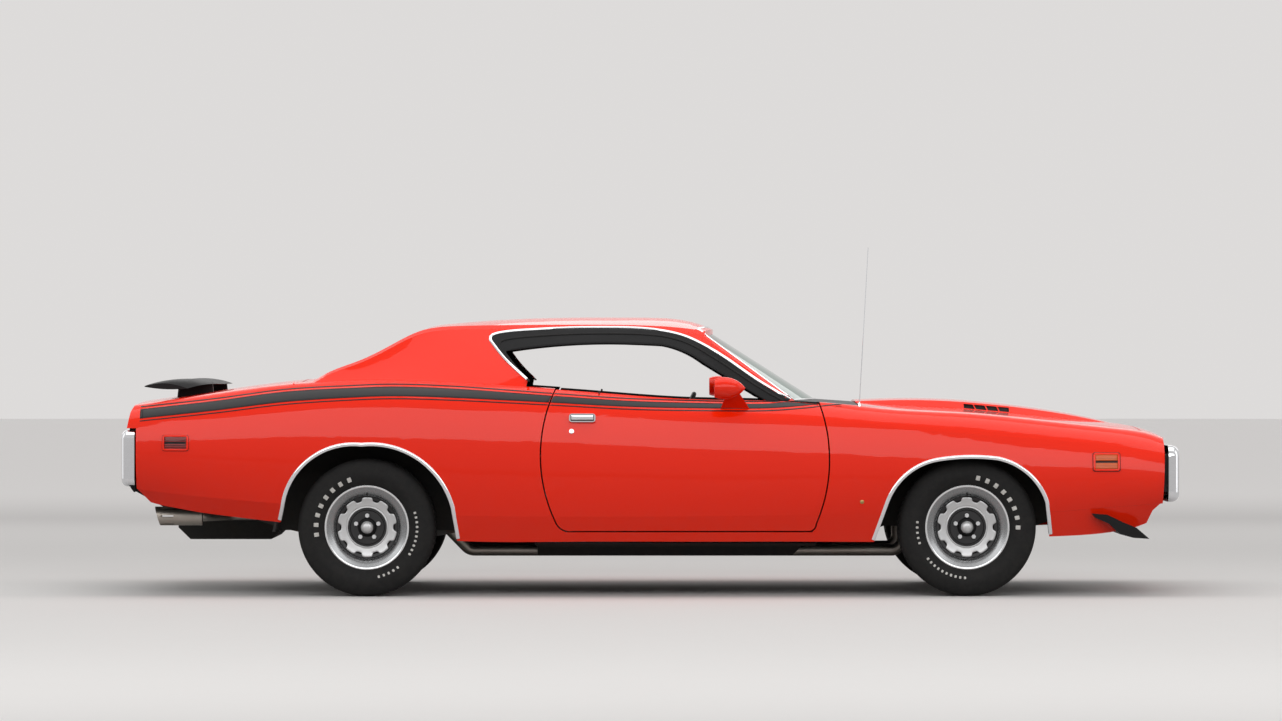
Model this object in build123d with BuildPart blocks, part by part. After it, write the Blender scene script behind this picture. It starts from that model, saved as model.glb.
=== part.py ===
from build123d import *

import os
from collections import namedtuple
from math import cos, radians, sin

os.makedirs("parts", exist_ok=True)

# Frame: +X forward, +Y left, +Z up, millimetres, origin on the ground under the middle of the car.
# Right-hand pieces are drawn on Plane.XZ, whose local axes are (X, Z) and which extrudes towards -Y.

# ---- Driving dimensions -------------------------------------------------------------------------
WHEELBASE = 2921.0
FRONT_AXLE_X = 1539.5
REAR_AXLE_X = FRONT_AXLE_X - WHEELBASE
FRONT_WHEEL_Y = 758.0
REAR_WHEEL_Y = 787.5
TYRE_R = 335.0
TYRE_W = 254.0
TREAD_W = 206.0
BEAD_R = 190.5
NOSE_X = 2608.5
TAIL_X = -2608.5

SKIN = 28.0              # body panel with its inner stiffening
ROOF_SKIN = 32.0
GAP = 7.0                # shut line of doors and lids
FIT = 0.3                # seat of a fixed piece inside the skin
GLASS = 6.0
REACH = 1100.0           # past the widest panel
SHEET = 12.0             # floor, firewall and inner fender panels

# ---- Body sections: half-widths and heights at each station ---------------------------------------
# foot = lower end of the tuck, crease = lower body line, wide = widest point,
# hip = end of the side arc, ridge = upper edge, crown = height on the centreline.
Station = namedtuple(
    "Station", "x foot_y foot_z crease_y crease_z wide_y wide_z hip_y hip_z ridge_y ridge_z crown_z")
BODY = [Station(*row) for row in [
    (-2570, 800, 505, 850, 532, 893, 690, 870, 830, 730, 925, 938),
    (-2200, 862, 409, 912, 487, 952, 700, 922, 860, 740, 978, 992),
    (-1800, 905, 361, 955, 453, 986, 715, 952, 895, 745, 1032, 1045),
    (-1381, 930, 310, 973, 420, 1002, 730, 963, 920, 770, 1052, 1072),
    (-900, 938, 270, 982, 395, 1004, 715, 966, 905, 840, 1035, 1062),
    (-400, 940, 268, 984, 391, 1004, 690, 968, 880, 865, 1003, 1030),
    (200, 940, 268, 983, 392, 1002, 672, 966, 850, 868, 959, 985),
    (800, 932, 268, 974, 400, 995, 660, 958, 830, 850, 945, 956),
    (1200, 917, 268, 961, 406, 983, 655, 944, 812, 805, 910, 930),
    (1540, 902, 280, 948, 409, 970, 648, 930, 792, 780, 893, 911),
    (2000, 868, 293, 917, 414, 943, 632, 902, 755, 750, 848, 866),
    (2300, 840, 322, 889, 436, 918, 620, 880, 728, 735, 816, 836),
    (2480, 815, 370, 867, 452, 897, 610, 860, 700, 715, 780, 797),
    (2570, 800, 400, 850, 460, 882, 600, 845, 680, 700, 728, 742),
]]

# Cabin roof sections: base = foot of the side, bow = outward bulge of the side, edge = roof edge,
# turn = inner end of the rounded edge, crown = height on the centreline.
Roof = namedtuple("Roof", "x base_y base_z bow edge_y edge_z turn_y turn_z crown_z")
CABIN = [Roof(*row) for row in [
    (-1745, 880, 960, -2, 822, 1036, 790, 1043, 1050),
    (-1596, 905, 960, -4, 800, 1066, 765, 1078, 1086),
    (-1439, 915, 950, -12, 752, 1128, 715, 1142, 1152),
    (-1281, 915, 940, -14, 694, 1204, 655, 1219, 1232),
    (-1124, 910, 930, -8, 645, 1278, 605, 1295, 1308),
    (-967, 905, 920, 3, 628, 1298, 588, 1316, 1334),
    (-805, 902, 917, 7, 626, 1301, 586, 1320, 1347),
    (-643, 898, 914, 10, 624, 1303, 584, 1322, 1356),
    (-481, 894, 911, 13, 622, 1304, 582, 1323, 1361),
    (-319, 891, 909, 14, 622, 1303, 582, 1323, 1363),
    (-157, 887, 907, 14, 622, 1301, 582, 1322, 1363),
    (5, 883, 904, 13, 621, 1297, 581, 1318, 1362),
    (167, 876, 902, 11, 617, 1286, 577, 1306, 1349),
    (330, 870, 900, 8, 612, 1262, 572, 1280, 1290),
]]


def body_section(row, inset=0.0, open_below=0.0):
    """One closed cross-section of the lower body, drawn inwards by inset."""
    foot_z = row.foot_z - open_below
    with BuildSketch(Plane.YZ.offset(row.x)) as section:
        with BuildLine():
            foot = (row.foot_y - inset, foot_z)
            crease = (row.crease_y - inset, row.crease_z)
            wide = (row.wide_y - inset, row.wide_z)
            hip = (row.hip_y - inset, row.hip_z)
            ridge = (row.ridge_y - inset, row.ridge_z - inset)
            Line((-foot[0], foot[1]), foot)
            Line(foot, crease)
            side = ThreePointArc(crease, wide, hip)
            TangentArc(side @ 1, ridge, tangent=side % 1)
            ThreePointArc(ridge, (0, row.crown_z - inset), (-ridge[0], ridge[1]))
            other = ThreePointArc((-crease[0], crease[1]), (-wide[0], wide[1]), (-hip[0], hip[1]))
            TangentArc(other @ 1, (-ridge[0], ridge[1]), tangent=other % 1)
            Line((-crease[0], crease[1]), (-foot[0], foot[1]))
        make_face()
    return section.sketch


def cabin_section(row, inset=0.0):
    """One closed cross-section of the cabin roof, drawn inwards by inset."""
    middle_y = (row.base_y + row.edge_y) / 2 + row.bow * 0.8
    middle_z = (row.base_z + row.edge_z) / 2 + row.bow * 0.6
    with BuildSketch(Plane.YZ.offset(row.x)) as section:
        with BuildLine():
            base = (row.base_y - inset, row.base_z - inset)
            edge = (row.edge_y - inset, row.edge_z - inset * 0.5)
            turn = (row.turn_y - inset, row.turn_z - inset)
            middle = (middle_y - inset, middle_z - inset * 0.5)
            Line((-base[0], base[1]), base)
            ThreePointArc(base, middle, edge)
            Line(edge, turn)
            ThreePointArc(turn, (0, row.crown_z - inset), (-turn[0], turn[1]))
            Line((-turn[0], turn[1]), (-edge[0], edge[1]))
            ThreePointArc((-edge[0], edge[1]), (-middle[0], middle[1]), (-base[0], base[1]))
        make_face()
    return section.sketch


def body_form(inset=0.0, open_below=0.0):
    with BuildPart() as form:
        loft(sections=[body_section(row, inset, open_below) for row in BODY])
    return form.part


def cabin_form(inset=0.0):
    with BuildPart() as form:
        loft(sections=[cabin_section(row, inset) for row in CABIN])
    return form.part


outer = body_form()
cavity = body_form(SKIN, 80.0)
fit_form = body_form(SKIN + FIT, 80.0)
roof_outer = cabin_form()
roof_cavity = cabin_form(ROOF_SKIN)

with BuildPart() as skin:
    add(outer)
    add(cavity, mode=Mode.SUBTRACT)

with BuildPart() as roof_skin:
    add(roof_outer)
    add(roof_cavity, mode=Mode.SUBTRACT)

# ---- Side-view outlines (X, Z) -------------------------------------------------------------------
DOOR_REAR_X = -459.0
DOOR_REAR_BULGE = 73.0
DOOR_FRONT_X = 814.0
DOOR_FRONT_BULGE = 47.0
DOOR_TOP_Z = 1100.0
DOOR_SILL_Z = 321.0
DOOR_REAR_TOP_Z = 1012.0      # where the bowed rear and front edges end at the belt
DOOR_FRONT_TOP_Z = 941.0
DOOR_MID_Z = 680.0
DOOR_FOOT_X = (-380.0, 770.0)     # flat stretch of the lower edge
DOOR_TOE = (798.0, 355.0)
SILL_FRONT_X = 1030.0
SILL_TOP_Z = DOOR_SILL_Z - GAP


def door_outline(grow=0.0):
    """The door's edge in side view, with bowed front and rear edges, grown outwards by grow."""
    heel_z = DOOR_SILL_Z + 42
    rear_x = DOOR_REAR_X - grow
    front_x = DOOR_FRONT_X + grow
    foot_z = DOOR_SILL_Z - grow
    toe = (DOOR_TOE[0] + grow, DOOR_TOE[1])
    corner = grow * 0.7
    with BuildSketch(Plane.XZ) as outline:
        with BuildLine():
            Line((rear_x, DOOR_TOP_Z), (rear_x, DOOR_REAR_TOP_Z))
            ThreePointArc((rear_x, DOOR_REAR_TOP_Z), (rear_x - DOOR_REAR_BULGE, DOOR_MID_Z), (rear_x, heel_z))
            ThreePointArc((rear_x, heel_z), (DOOR_REAR_X + 24 - corner, heel_z - 30 - corner),
                          (DOOR_FOOT_X[0], foot_z))
            Line((DOOR_FOOT_X[0], foot_z), (DOOR_FOOT_X[1], foot_z))
            ThreePointArc((DOOR_FOOT_X[1], foot_z), (DOOR_FOOT_X[1] + 20 + corner, DOOR_SILL_Z + 12 - corner),
                          toe)
            ThreePointArc(toe, (front_x + DOOR_FRONT_BULGE, DOOR_MID_Z), (front_x, DOOR_FRONT_TOP_Z))
            Polyline((front_x, DOOR_FRONT_TOP_Z), (front_x, DOOR_TOP_Z), (rear_x, DOOR_TOP_Z))
        make_face()
    return outline.sketch


# Wheel arches: half-openings fore and aft of the axle, and the height of the lip.
ARCH_FOOT_Z = 200.0
FRONT_ARCH_TOP_Z = 673.0
REAR_ARCH_TOP_Z = 732.0


def front_arch(grow=0.0):
    """Flat-topped front wheel opening."""
    x = FRONT_AXLE_X
    with BuildSketch(Plane.XZ) as arch:
        with BuildLine():
            Line((x - 480 - grow, ARCH_FOOT_Z), (x - 389 - grow, 457))
            ThreePointArc((x - 389 - grow, 457), (x - 300 - grow * 0.8, 588 + grow * 0.6),
                          (x - 140, 661 + grow))
            ThreePointArc((x - 140, 661 + grow), (x, FRONT_ARCH_TOP_Z + grow), (x + 142, 665 + grow))
            ThreePointArc((x + 142, 665 + grow), (x + 290 + grow * 0.8, 590 + grow * 0.6),
                          (x + 376 + grow, 457))
            Line((x + 376 + grow, 457), (x + 410 + grow, ARCH_FOOT_Z))
            Line((x + 410 + grow, ARCH_FOOT_Z), (x - 480 - grow, ARCH_FOOT_Z))
        make_face()
    return arch.sketch


def rear_arch(grow=0.0):
    """Round rear wheel opening, its top a little behind the axle."""
    x = REAR_AXLE_X
    with BuildSketch(Plane.XZ) as arch:
        with BuildLine():
            Line((x - 455 - grow, ARCH_FOOT_Z), (x - 399 - grow, 439))
            ThreePointArc((x - 399 - grow, 439), (x - 262 - grow * 0.8, 668 + grow * 0.6),
                          (x - 20, REAR_ARCH_TOP_Z + grow))
            ThreePointArc((x - 20, REAR_ARCH_TOP_Z + grow), (x + 265 + grow * 0.8, 655 + grow * 0.6),
                          (x + 415 + grow, 430))
            Line((x + 415 + grow, 430), (x + 452 + grow, ARCH_FOOT_Z))
            Line((x + 452 + grow, ARCH_FOOT_Z), (x - 455 - grow, ARCH_FOOT_Z))
        make_face()
    return arch.sketch


# ---- Plan-view seams of the lids (X, half-width) ----------------------------------------------------
HOOD_REAR_X = 1010.0
HOOD_FRONT_X = 2400.0
HOOD_REAR_Y = 790.0
HOOD_FRONT_Y = 706.0
COWL_X = 640.0
DECK_FRONT_X = -1700.0
DECK_REAR_X = -2522.0
DECK_FRONT_Y = 698.0
DECK_REAR_Y = 690.0
SHELF_X = -1640.0
SHELF_Y = 740.0
FIREWALL_X = 905.0
RADIATOR_X = 2260.0
LATCH_Z = 760.0            # top of the radiator support
LATCH_PIN_R = 8.0
LATCH_PIN_LONG = 70.0
SUPPORT_T = 30.0
TRAY_FRONT_X = -1262.0
FLOOR_REAR_Y = 596.0      # half-width between the rear wheelhouses
AXLE_FLOOR_Z = 575.0


def hood_seam(x):
    """Half-width of the hood opening at x."""
    return HOOD_REAR_Y + (HOOD_FRONT_Y - HOOD_REAR_Y) * (x - HOOD_REAR_X) / (HOOD_FRONT_X - HOOD_REAR_X)


def plan_block(points, low=700.0, high=1200.0):
    """A block over a plan outline drawn for the left half and mirrored to the right."""
    with BuildPart() as block:
        with BuildSketch(Plane.XY.offset(low)):
            with BuildLine():
                Polyline(*points, *[(x, -y) for x, y in reversed(points)], close=True)
            make_face()
        extrude(amount=high - low)
    return block.part


PAST_END_X = 2700.0        # beyond both ends of the body
ABOVE = 1300.0             # over the belt
BELOW = 100.0              # under the floor


def core(half_width):
    """Everything inboard of a half-width."""
    return plan_block([(-PAST_END_X, half_width), (PAST_END_X, half_width)], BELOW, ABOVE)


# ---- Fenders, quarters, sills --------------------------------------------------------------------
NOSE_FRONT_X = 2507.0
SILL_FOOT_Z = 240.0
TOE_CORNER = (15.0, 60.0)      # how far the fender's lower rear corner reaches under the door's toe
FENDER_FOOT = [(1860, 413), (1980, 413), (2200, 431), (2490, 452)]
with BuildPart() as fender_right:
    add(skin.part)
    with BuildSketch(Plane.XZ):
        Polygon((COWL_X, ABOVE), (NOSE_FRONT_X, ABOVE), (NOSE_FRONT_X - 7, 700), *reversed(FENDER_FOOT),
                (FENDER_FOOT[0][0], SILL_FOOT_Z), (COWL_X, SILL_FOOT_Z), align=None)
    extrude(amount=REACH, mode=Mode.INTERSECT)
    add(plan_block([(COWL_X, hood_seam(COWL_X)), (PAST_END_X, hood_seam(PAST_END_X))], BELOW, ABOVE),
        mode=Mode.SUBTRACT)
    with BuildSketch(Plane.XZ):
        add(door_outline(GAP))
    extrude(amount=REACH, mode=Mode.SUBTRACT)
    with BuildSketch(Plane.XZ):
        Polygon((COWL_X - 1, BELOW), (COWL_X - 1, ABOVE), (DOOR_FRONT_X + GAP, ABOVE),
                (DOOR_FRONT_X + GAP, DOOR_TOE[1] + TOE_CORNER[1]),
                (DOOR_FOOT_X[1] + TOE_CORNER[0], DOOR_TOE[1] + TOE_CORNER[1]),
                (DOOR_FOOT_X[1] + TOE_CORNER[0], SILL_TOP_Z), (SILL_FRONT_X, SILL_TOP_Z), (SILL_FRONT_X, BELOW),
                align=None)
    extrude(amount=REACH, mode=Mode.SUBTRACT)
    with BuildSketch(Plane.XZ):
        add(front_arch())
    extrude(amount=REACH, mode=Mode.SUBTRACT)

# Quarter panel's rear edge, from the belt down to the wheel opening, and its inner edge in plan.
TAIL_EDGE = [(-2505, ABOVE), (-2513, 942), (-2535, 896), (-2549, 818), (-2503, 818), (-2503, 526),
             (-2428, 447), (-2355, 437), (-1600, 300), (-1000, 250)]
QUARTER_FRONT_X = -420.0
QUARTER_INNER = [(-PAST_END_X, DECK_REAR_Y), (DECK_FRONT_X, DECK_FRONT_Y), (SHELF_X, SHELF_Y), (-1100, 790),
                 (-300, 820)]
SILL_REAR_X = -960.0
with BuildPart() as quarter_skin:
    add(skin.part)
    with BuildSketch(Plane.XZ):
        Polygon((QUARTER_FRONT_X, ABOVE), *TAIL_EDGE, (QUARTER_FRONT_X, TAIL_EDGE[-1][1]), align=None)
    extrude(amount=REACH, mode=Mode.INTERSECT)
    add(plan_block(QUARTER_INNER, BELOW, ABOVE), mode=Mode.SUBTRACT)
    with BuildSketch(Plane.XZ):
        add(door_outline(GAP))
        with Locations((SILL_REAR_X - 30, BELOW)):
            Rectangle(900, SILL_TOP_Z - BELOW, align=(Align.MIN, Align.MIN))
    extrude(amount=REACH, mode=Mode.SUBTRACT)
    with BuildSketch(Plane.XZ):
        add(rear_arch())
    extrude(amount=REACH, mode=Mode.SUBTRACT)

# Lock pillar: a post behind the door's rear edge, inside the quarter skin.
POST_IN_Y = 820.0
POST_DEEP = 60.0
POST_WIDE = 220.0
POST_TOP_Z = 1000.0
STRIKER_Y = 892.0
STRIKER_Z = 680.0
STRIKER_R = 9.0
STRIKER_DEEP = 14.0
DOOR_STEP = 22.0        # the door's inner box is smaller than its skin by this
with BuildPart() as lock_post:
    with BuildSketch(Plane.XZ):
        with Locations((DOOR_REAR_X - DOOR_REAR_BULGE - POST_DEEP, SILL_TOP_Z)):
            Rectangle(POST_WIDE, POST_TOP_Z - SILL_TOP_Z, align=(Align.MIN, Align.MIN))
        add(door_outline(GAP), mode=Mode.SUBTRACT)
    extrude(amount=REACH)
    add(core(POST_IN_Y), mode=Mode.SUBTRACT)
    with BuildSketch(Plane.YZ.offset(DOOR_REAR_X - DOOR_REAR_BULGE - GAP - 10)):
        with Locations((-STRIKER_Y, STRIKER_Z)):
            Circle(STRIKER_R)
    extrude(amount=10 + GAP + DOOR_STEP + STRIKER_DEEP)
    add(outer, mode=Mode.INTERSECT)

# Sail: the rear roof post, from the shelf up to the roof seam, with the window edge cut.
ROOF_SEAM_X = -1085.0
SIDE_WINDOW_TOP_Z = 1223.0


def side_window():
    """See-through opening above the door, from the rear post to the screen post."""
    with BuildSketch(Plane.XZ) as window:
        with BuildLine():
            Line((-640, 860), (-600, 1058))
            ThreePointArc((-600, 1058), (-668, 1128), (-716, 1192))
            ThreePointArc((-716, 1192), (-340, SIDE_WINDOW_TOP_Z + 6), (60, SIDE_WINDOW_TOP_Z))
            ThreePointArc((60, SIDE_WINDOW_TOP_Z), (168, 1189), (266, 1130))
            Line((266, 1130), (640, 900))
            Line((640, 900), (640, 860))
            Line((640, 860), (-640, 860))
        make_face()
    return window.sketch


# Rear window opening in plan: corners (X, half-width).
REAR_WINDOW_TOP = (-1098.0, 548.0)
REAR_WINDOW_FOOT = (-1640.0, 690.0)

with BuildPart() as roof_shell:
    add(roof_skin.part)
    with BuildSketch(Plane.XZ):
        add(side_window())
    extrude(amount=REACH, both=True, mode=Mode.SUBTRACT)
    add(plan_block([(-1760, 705), REAR_WINDOW_FOOT, REAR_WINDOW_TOP], 900, 1500), mode=Mode.SUBTRACT)
    add(plan_block([(-2600, 560), REAR_WINDOW_TOP, (-1000, 300)], 700, 1015), mode=Mode.SUBTRACT)
    add(outer, mode=Mode.SUBTRACT)

# Screen posts: bars from the cowl to the roof's front corners, flat inner faces for the glass.
POST_FOOT_Z = 930.0
POST_HEAD_Z = 1290.0
POST_FOOT = (536.0, 729.0, 850.0, 788.0)     # rear X, front X, outer half-width, inner half-width
POST_HEAD = (30.0, 244.0, 612.0, 556.0)


POST_BEVEL = (22.0, 30.0)
SCREEN_SETBACK = 14.0      # glass behind the post's front face


def post_at(level):
    """Screen post's rear X, front X, outer and inner half-width at a height."""
    share = (level - POST_FOOT_Z) / (POST_HEAD_Z - POST_FOOT_Z)
    return [foot + (head - foot) * share for foot, head in zip(POST_FOOT, POST_HEAD)]


def post_block(level):
    rear, front, out, inner = post_at(level)
    with BuildSketch(Plane.XY.offset(level)) as cut:
        Polygon((rear, -out), (front - POST_BEVEL[0], -out), (front, -out + POST_BEVEL[1]), (front, -inner),
                (rear, -inner), align=None)
    return cut.sketch


with BuildPart() as above_roof:
    with BuildSketch(Plane.XY.offset(1200)):
        Rectangle(600, 1400)
    extrude(amount=300)
    add(roof_outer, mode=Mode.SUBTRACT)

with BuildPart() as screen_post_right:
    loft(sections=[post_block(POST_FOOT_Z), post_block(POST_HEAD_Z)])
    with BuildSketch(Plane.XZ):
        add(side_window())
    extrude(amount=REACH, mode=Mode.SUBTRACT)
    add(outer, mode=Mode.SUBTRACT)
    add(above_roof.part, mode=Mode.SUBTRACT)

# Windscreen: a curved pane between the posts.
SCREEN_FOOT_Z = 958.0
SCREEN_HEAD_Z = 1283.0
SCREEN_FOOT_BOW = 140.0
SCREEN_HEAD_BOW = 66.0
SCREEN_DEEP = GLASS / sin(radians(33))


def screen_band(level, bow, grow):
    """The pane's section at a height, a crescent in plan, grown on every side."""
    rear, front, out, inner = post_at(level)
    half = inner - FIT + grow
    face = front - SCREEN_SETBACK + 2 * grow
    back = face - SCREEN_DEEP - 4 * grow
    with BuildSketch(Plane.XY.offset(level)) as band:
        with BuildLine():
            ThreePointArc((face, -half), (face + bow, 0), (face, half))
            Line((face, half), (back, half))
            ThreePointArc((back, half), (back + bow, 0), (back, -half))
            Line((back, -half), (face, -half))
        make_face()
    return band.sketch


def screen_pane(grow=0.0):
    """The windscreen, or with grow the rebate it seats in."""
    with BuildPart() as pane:
        loft(sections=[screen_band(SCREEN_FOOT_Z, SCREEN_FOOT_BOW, grow),
                       screen_band(SCREEN_HEAD_Z + grow, SCREEN_HEAD_BOW, grow)])
    return pane.part


with BuildPart() as windshield:
    add(screen_pane())

# ---- Welded and bolted body panels ---------------------------------------------------------------
def part_of(source, low_x, high_x):
    """The stretch of a solid between two X stations."""
    with BuildPart() as stretch:
        with BuildSketch(Plane.YZ.offset(low_x)):
            Rectangle(2400, 3200)
        extrude(amount=high_x - low_x)
        add(source, mode=Mode.INTERSECT)
    return stretch.part


with BuildPart() as right_half:
    with BuildSketch(Plane.XY):
        with Locations((0, -600)):
            Rectangle(5400, 1200)
    extrude(amount=1600)

with BuildPart() as roof:
    add(part_of(roof_shell.part, ROOF_SEAM_X, 330))
    with BuildSketch(Plane.XY.offset(1000)):
        with BuildLine():
            ThreePointArc((POST_HEAD[1] + 2, -700), (POST_HEAD[1] + 2 + SCREEN_HEAD_BOW, 0),
                          (POST_HEAD[1] + 2, 700))
            Polyline((POST_HEAD[1] + 2, 700), (700, 700), (700, -700), (POST_HEAD[1] + 2, -700))
        make_face()
    extrude(amount=500, mode=Mode.SUBTRACT)
    add(screen_pane(FIT), mode=Mode.SUBTRACT)
    add(screen_post_right.part)
    mirror(screen_post_right.part, about=Plane.XZ)

with BuildPart() as quarter_right:
    add(quarter_skin.part)
    add(part_of(roof_shell.part, -1745, ROOF_SEAM_X) & right_half.part)
    add(lock_post.part)

with BuildPart() as quarters:
    add(quarter_right.part)
    mirror(quarter_right.part, about=Plane.XZ)

with BuildPart() as fenders:
    add(fender_right.part)
    mirror(fender_right.part, about=Plane.XZ)

SILL_IN_Y = 790.0
with BuildPart() as sills:
    with BuildSketch(Plane.XZ):
        Polygon((SILL_REAR_X, SILL_TOP_Z), (SILL_FRONT_X, SILL_TOP_Z), (SILL_FRONT_X, SILL_FOOT_Z),
                (SILL_REAR_X, SILL_FOOT_Z), align=None)
        add(front_arch(), mode=Mode.SUBTRACT)
        add(rear_arch(), mode=Mode.SUBTRACT)
    extrude(amount=REACH)
    add(outer, mode=Mode.INTERSECT)
    add(core(SILL_IN_Y), mode=Mode.SUBTRACT)
    mirror(about=Plane.XZ)

# ---- Lids ------------------------------------------------------------------------------------------
BULGE = namedtuple("Bulge", "x foot_y foot_z top_y top_z crown_z")
HOOD_BULGE = [BULGE(*row) for row in [
    (1014, 318, 880, 262, 944, 952),
    (1200, 330, 880, 272, 950, 958),
    (1500, 326, 870, 268, 944, 953),
    (1800, 306, 850, 250, 917, 926),
    (2100, 272, 820, 222, 873, 882),
    (2300, 240, 800, 196, 829, 836),
]]

with BuildPart() as hood_bulge:
    for row in HOOD_BULGE:
        with BuildSketch(Plane.YZ.offset(row.x)):
            with BuildLine():
                Polyline((-row.top_y, row.top_z), (-row.foot_y, row.foot_z), (row.foot_y, row.foot_z),
                         (row.top_y, row.top_z))
                ThreePointArc((row.top_y, row.top_z), (0, row.crown_z), (-row.top_y, row.top_z))
            make_face()
    loft()
    add(cavity, mode=Mode.SUBTRACT)

# Air slots in the bulge's sides: two louvred pockets with slats between them.
VENT_X = (1556.0, 1782.0)
VENT_Z = (910.0, 932.0)
VENT_FALL = 20.0           # how much lower the slot's front end is
VENT_FLOOR_Y = 246.0
VENT_DEEP = 60.0
SLAT_T = 5.0
SLAT_COUNT = 3
with BuildPart() as vent_pockets:
    with BuildSketch(Plane.XZ.offset(VENT_FLOOR_Y)):
        Polygon((VENT_X[0], VENT_Z[0]), (VENT_X[1], VENT_Z[0] - VENT_FALL), (VENT_X[1], VENT_Z[1] - VENT_FALL),
                (VENT_X[0], VENT_Z[1]), align=None)
        for index in range(1, SLAT_COUNT + 1):
            x = VENT_X[0] + (VENT_X[1] - VENT_X[0]) * index / (SLAT_COUNT + 1)
            with Locations((x, VENT_Z[0])):
                Rectangle(SLAT_T, 4 * VENT_FALL, rotation=25, mode=Mode.SUBTRACT)
    extrude(amount=VENT_DEEP)
    mirror(about=Plane.XZ)

with BuildPart() as hood:
    add(skin.part)
    add(plan_block([(HOOD_REAR_X + GAP, hood_seam(HOOD_REAR_X) - GAP),
                    (HOOD_FRONT_X - GAP, hood_seam(HOOD_FRONT_X) - GAP)]), mode=Mode.INTERSECT)
    add(part_of(hood_bulge.part, HOOD_REAR_X + GAP, HOOD_FRONT_X))
    add(vent_pockets.part, mode=Mode.SUBTRACT)
    with BuildSketch(Plane.XY.offset(LATCH_Z + FIT)):
        with Locations((RADIATOR_X + SUPPORT_T / 2, 0)):
            Circle(LATCH_PIN_R)
    extrude(amount=LATCH_PIN_LONG)

with BuildPart() as deck_lid:
    add(skin.part)
    add(plan_block([(DECK_REAR_X + GAP, DECK_REAR_Y - GAP), (DECK_FRONT_X - GAP, DECK_FRONT_Y - GAP)]),
        mode=Mode.INTERSECT)

with BuildPart() as nose_panel:
    add(skin.part)
    add(plan_block([(HOOD_FRONT_X, hood_seam(HOOD_FRONT_X)), (NOSE_FRONT_X, hood_seam(NOSE_FRONT_X))]),
        mode=Mode.INTERSECT)

KICK_Y = (812.0, 846.0)
KICK_TOP_Z = (925.0, 900.0)     # under the cowl's skin, and under the fender's
with BuildPart() as cowl:
    add(skin.part)
    add(plan_block([(POST_FOOT[0] + 20, KICK_Y[1]), (DOOR_FRONT_X - GAP, KICK_Y[1]),
                    (DOOR_FRONT_X - GAP, hood_seam(DOOR_FRONT_X)), (HOOD_REAR_X, hood_seam(HOOD_REAR_X))]),
        mode=Mode.INTERSECT)
    with BuildSketch(Plane.XY.offset(800)):
        pane_x = post_at(SCREEN_FOOT_Z)[1] - SCREEN_SETBACK + 1
        pane_y = post_at(SCREEN_FOOT_Z)[3]
        with BuildLine():
            ThreePointArc((pane_x, -pane_y), (pane_x + SCREEN_FOOT_BOW, 0), (pane_x, pane_y))
            Polyline((pane_x, pane_y), (POST_FOOT[0], pane_y), (POST_FOOT[0], -pane_y), (pane_x, -pane_y))
        make_face()
    extrude(amount=300, mode=Mode.SUBTRACT)
    with BuildSketch(Plane.XZ.offset(KICK_Y[0])):
        Polygon((POST_FOOT[0] + 60, KICK_TOP_Z[0]), (DOOR_FRONT_X - GAP, KICK_TOP_Z[0]),
                (DOOR_FRONT_X - GAP, KICK_TOP_Z[1]), (FIREWALL_X, KICK_TOP_Z[1]), (FIREWALL_X, SILL_TOP_Z),
                (760, SILL_TOP_Z), align=None)
    extrude(amount=KICK_Y[1] - KICK_Y[0])
    mirror(about=Plane.XZ)

with BuildPart() as rear_shelf:
    add(skin.part)
    add(plan_block([(DECK_FRONT_X, DECK_FRONT_Y), (SHELF_X, SHELF_Y)]), mode=Mode.INTERSECT)
    with BuildSketch(Plane.XZ):
        Polygon((SHELF_X - 30, 1035), (SHELF_X - 42, 1035), (SHELF_X - 42, 920), (TRAY_FRONT_X, 894),
                (TRAY_FRONT_X, AXLE_FLOOR_Z + FIT), (TRAY_FRONT_X + SHEET, AXLE_FLOOR_Z + FIT),
                (TRAY_FRONT_X + SHEET, 906), (SHELF_X - 30, 932), align=None)
    extrude(amount=FLOOR_REAR_Y - 6, both=True)

# ---- Doors -------------------------------------------------------------------------------------------
DOOR_IN_Y = 868.0
with BuildPart() as door_right:
    with BuildSketch(Plane.XZ):
        add(door_outline(-DOOR_STEP))
    extrude(amount=REACH)
    add(core(DOOR_IN_Y), mode=Mode.SUBTRACT)
    add(outer, mode=Mode.INTERSECT)
    add(extrude(door_outline(), amount=REACH, mode=Mode.PRIVATE) & skin.part
        - core(DOOR_IN_Y))
    with BuildSketch(Plane.XZ.offset(DOOR_IN_Y - 10)):
        with Locations((DOOR_REAR_X - DOOR_REAR_BULGE + DOOR_STEP + 5, STRIKER_Z)):
            Rectangle(2 * STRIKER_DEEP + 30, 2 * (STRIKER_R + FIT))
    extrude(amount=STRIKER_Y - DOOR_IN_Y + 10 + STRIKER_R + 6, mode=Mode.SUBTRACT)

with BuildPart() as door_left:
    mirror(door_right.part, about=Plane.XZ)

# ---- Floor, firewall, inner panels -----------------------------------------------------------------
FLOOR_Z = 255.0                  # top of the floor
TUNNEL_Y = 150.0
TUNNEL_Z = 440.0
TRUNK_FLOOR_Z = 446.0
RAIL_Y = (385.0, 440.0)
RAIL_FOOT_Z = 185.0
TAIL_WALL_X = -2512.0

floor_top = [(FIREWALL_X, 430), (800, FLOOR_Z), (-560, FLOOR_Z), (-610, 340), (-930, 390),
             (-1030, AXLE_FLOOR_Z), (-1690, AXLE_FLOOR_Z), (-1770, TRUNK_FLOOR_Z), (-2380, TRUNK_FLOOR_Z),
             (TAIL_WALL_X, 520)]


def floor_band():
    """Side view of the floor sheet, from the firewall to the tail."""
    under = [(x, z - SHEET) for x, z in reversed(floor_top)]
    with BuildSketch(Plane.XZ) as band:
        Polygon(*floor_top, *under, align=None)
    return band.sketch


TUNNEL_CROWN = 80.0       # rise of the tunnel's rounded top
TUNNEL_REAR_X = -940.0


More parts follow.
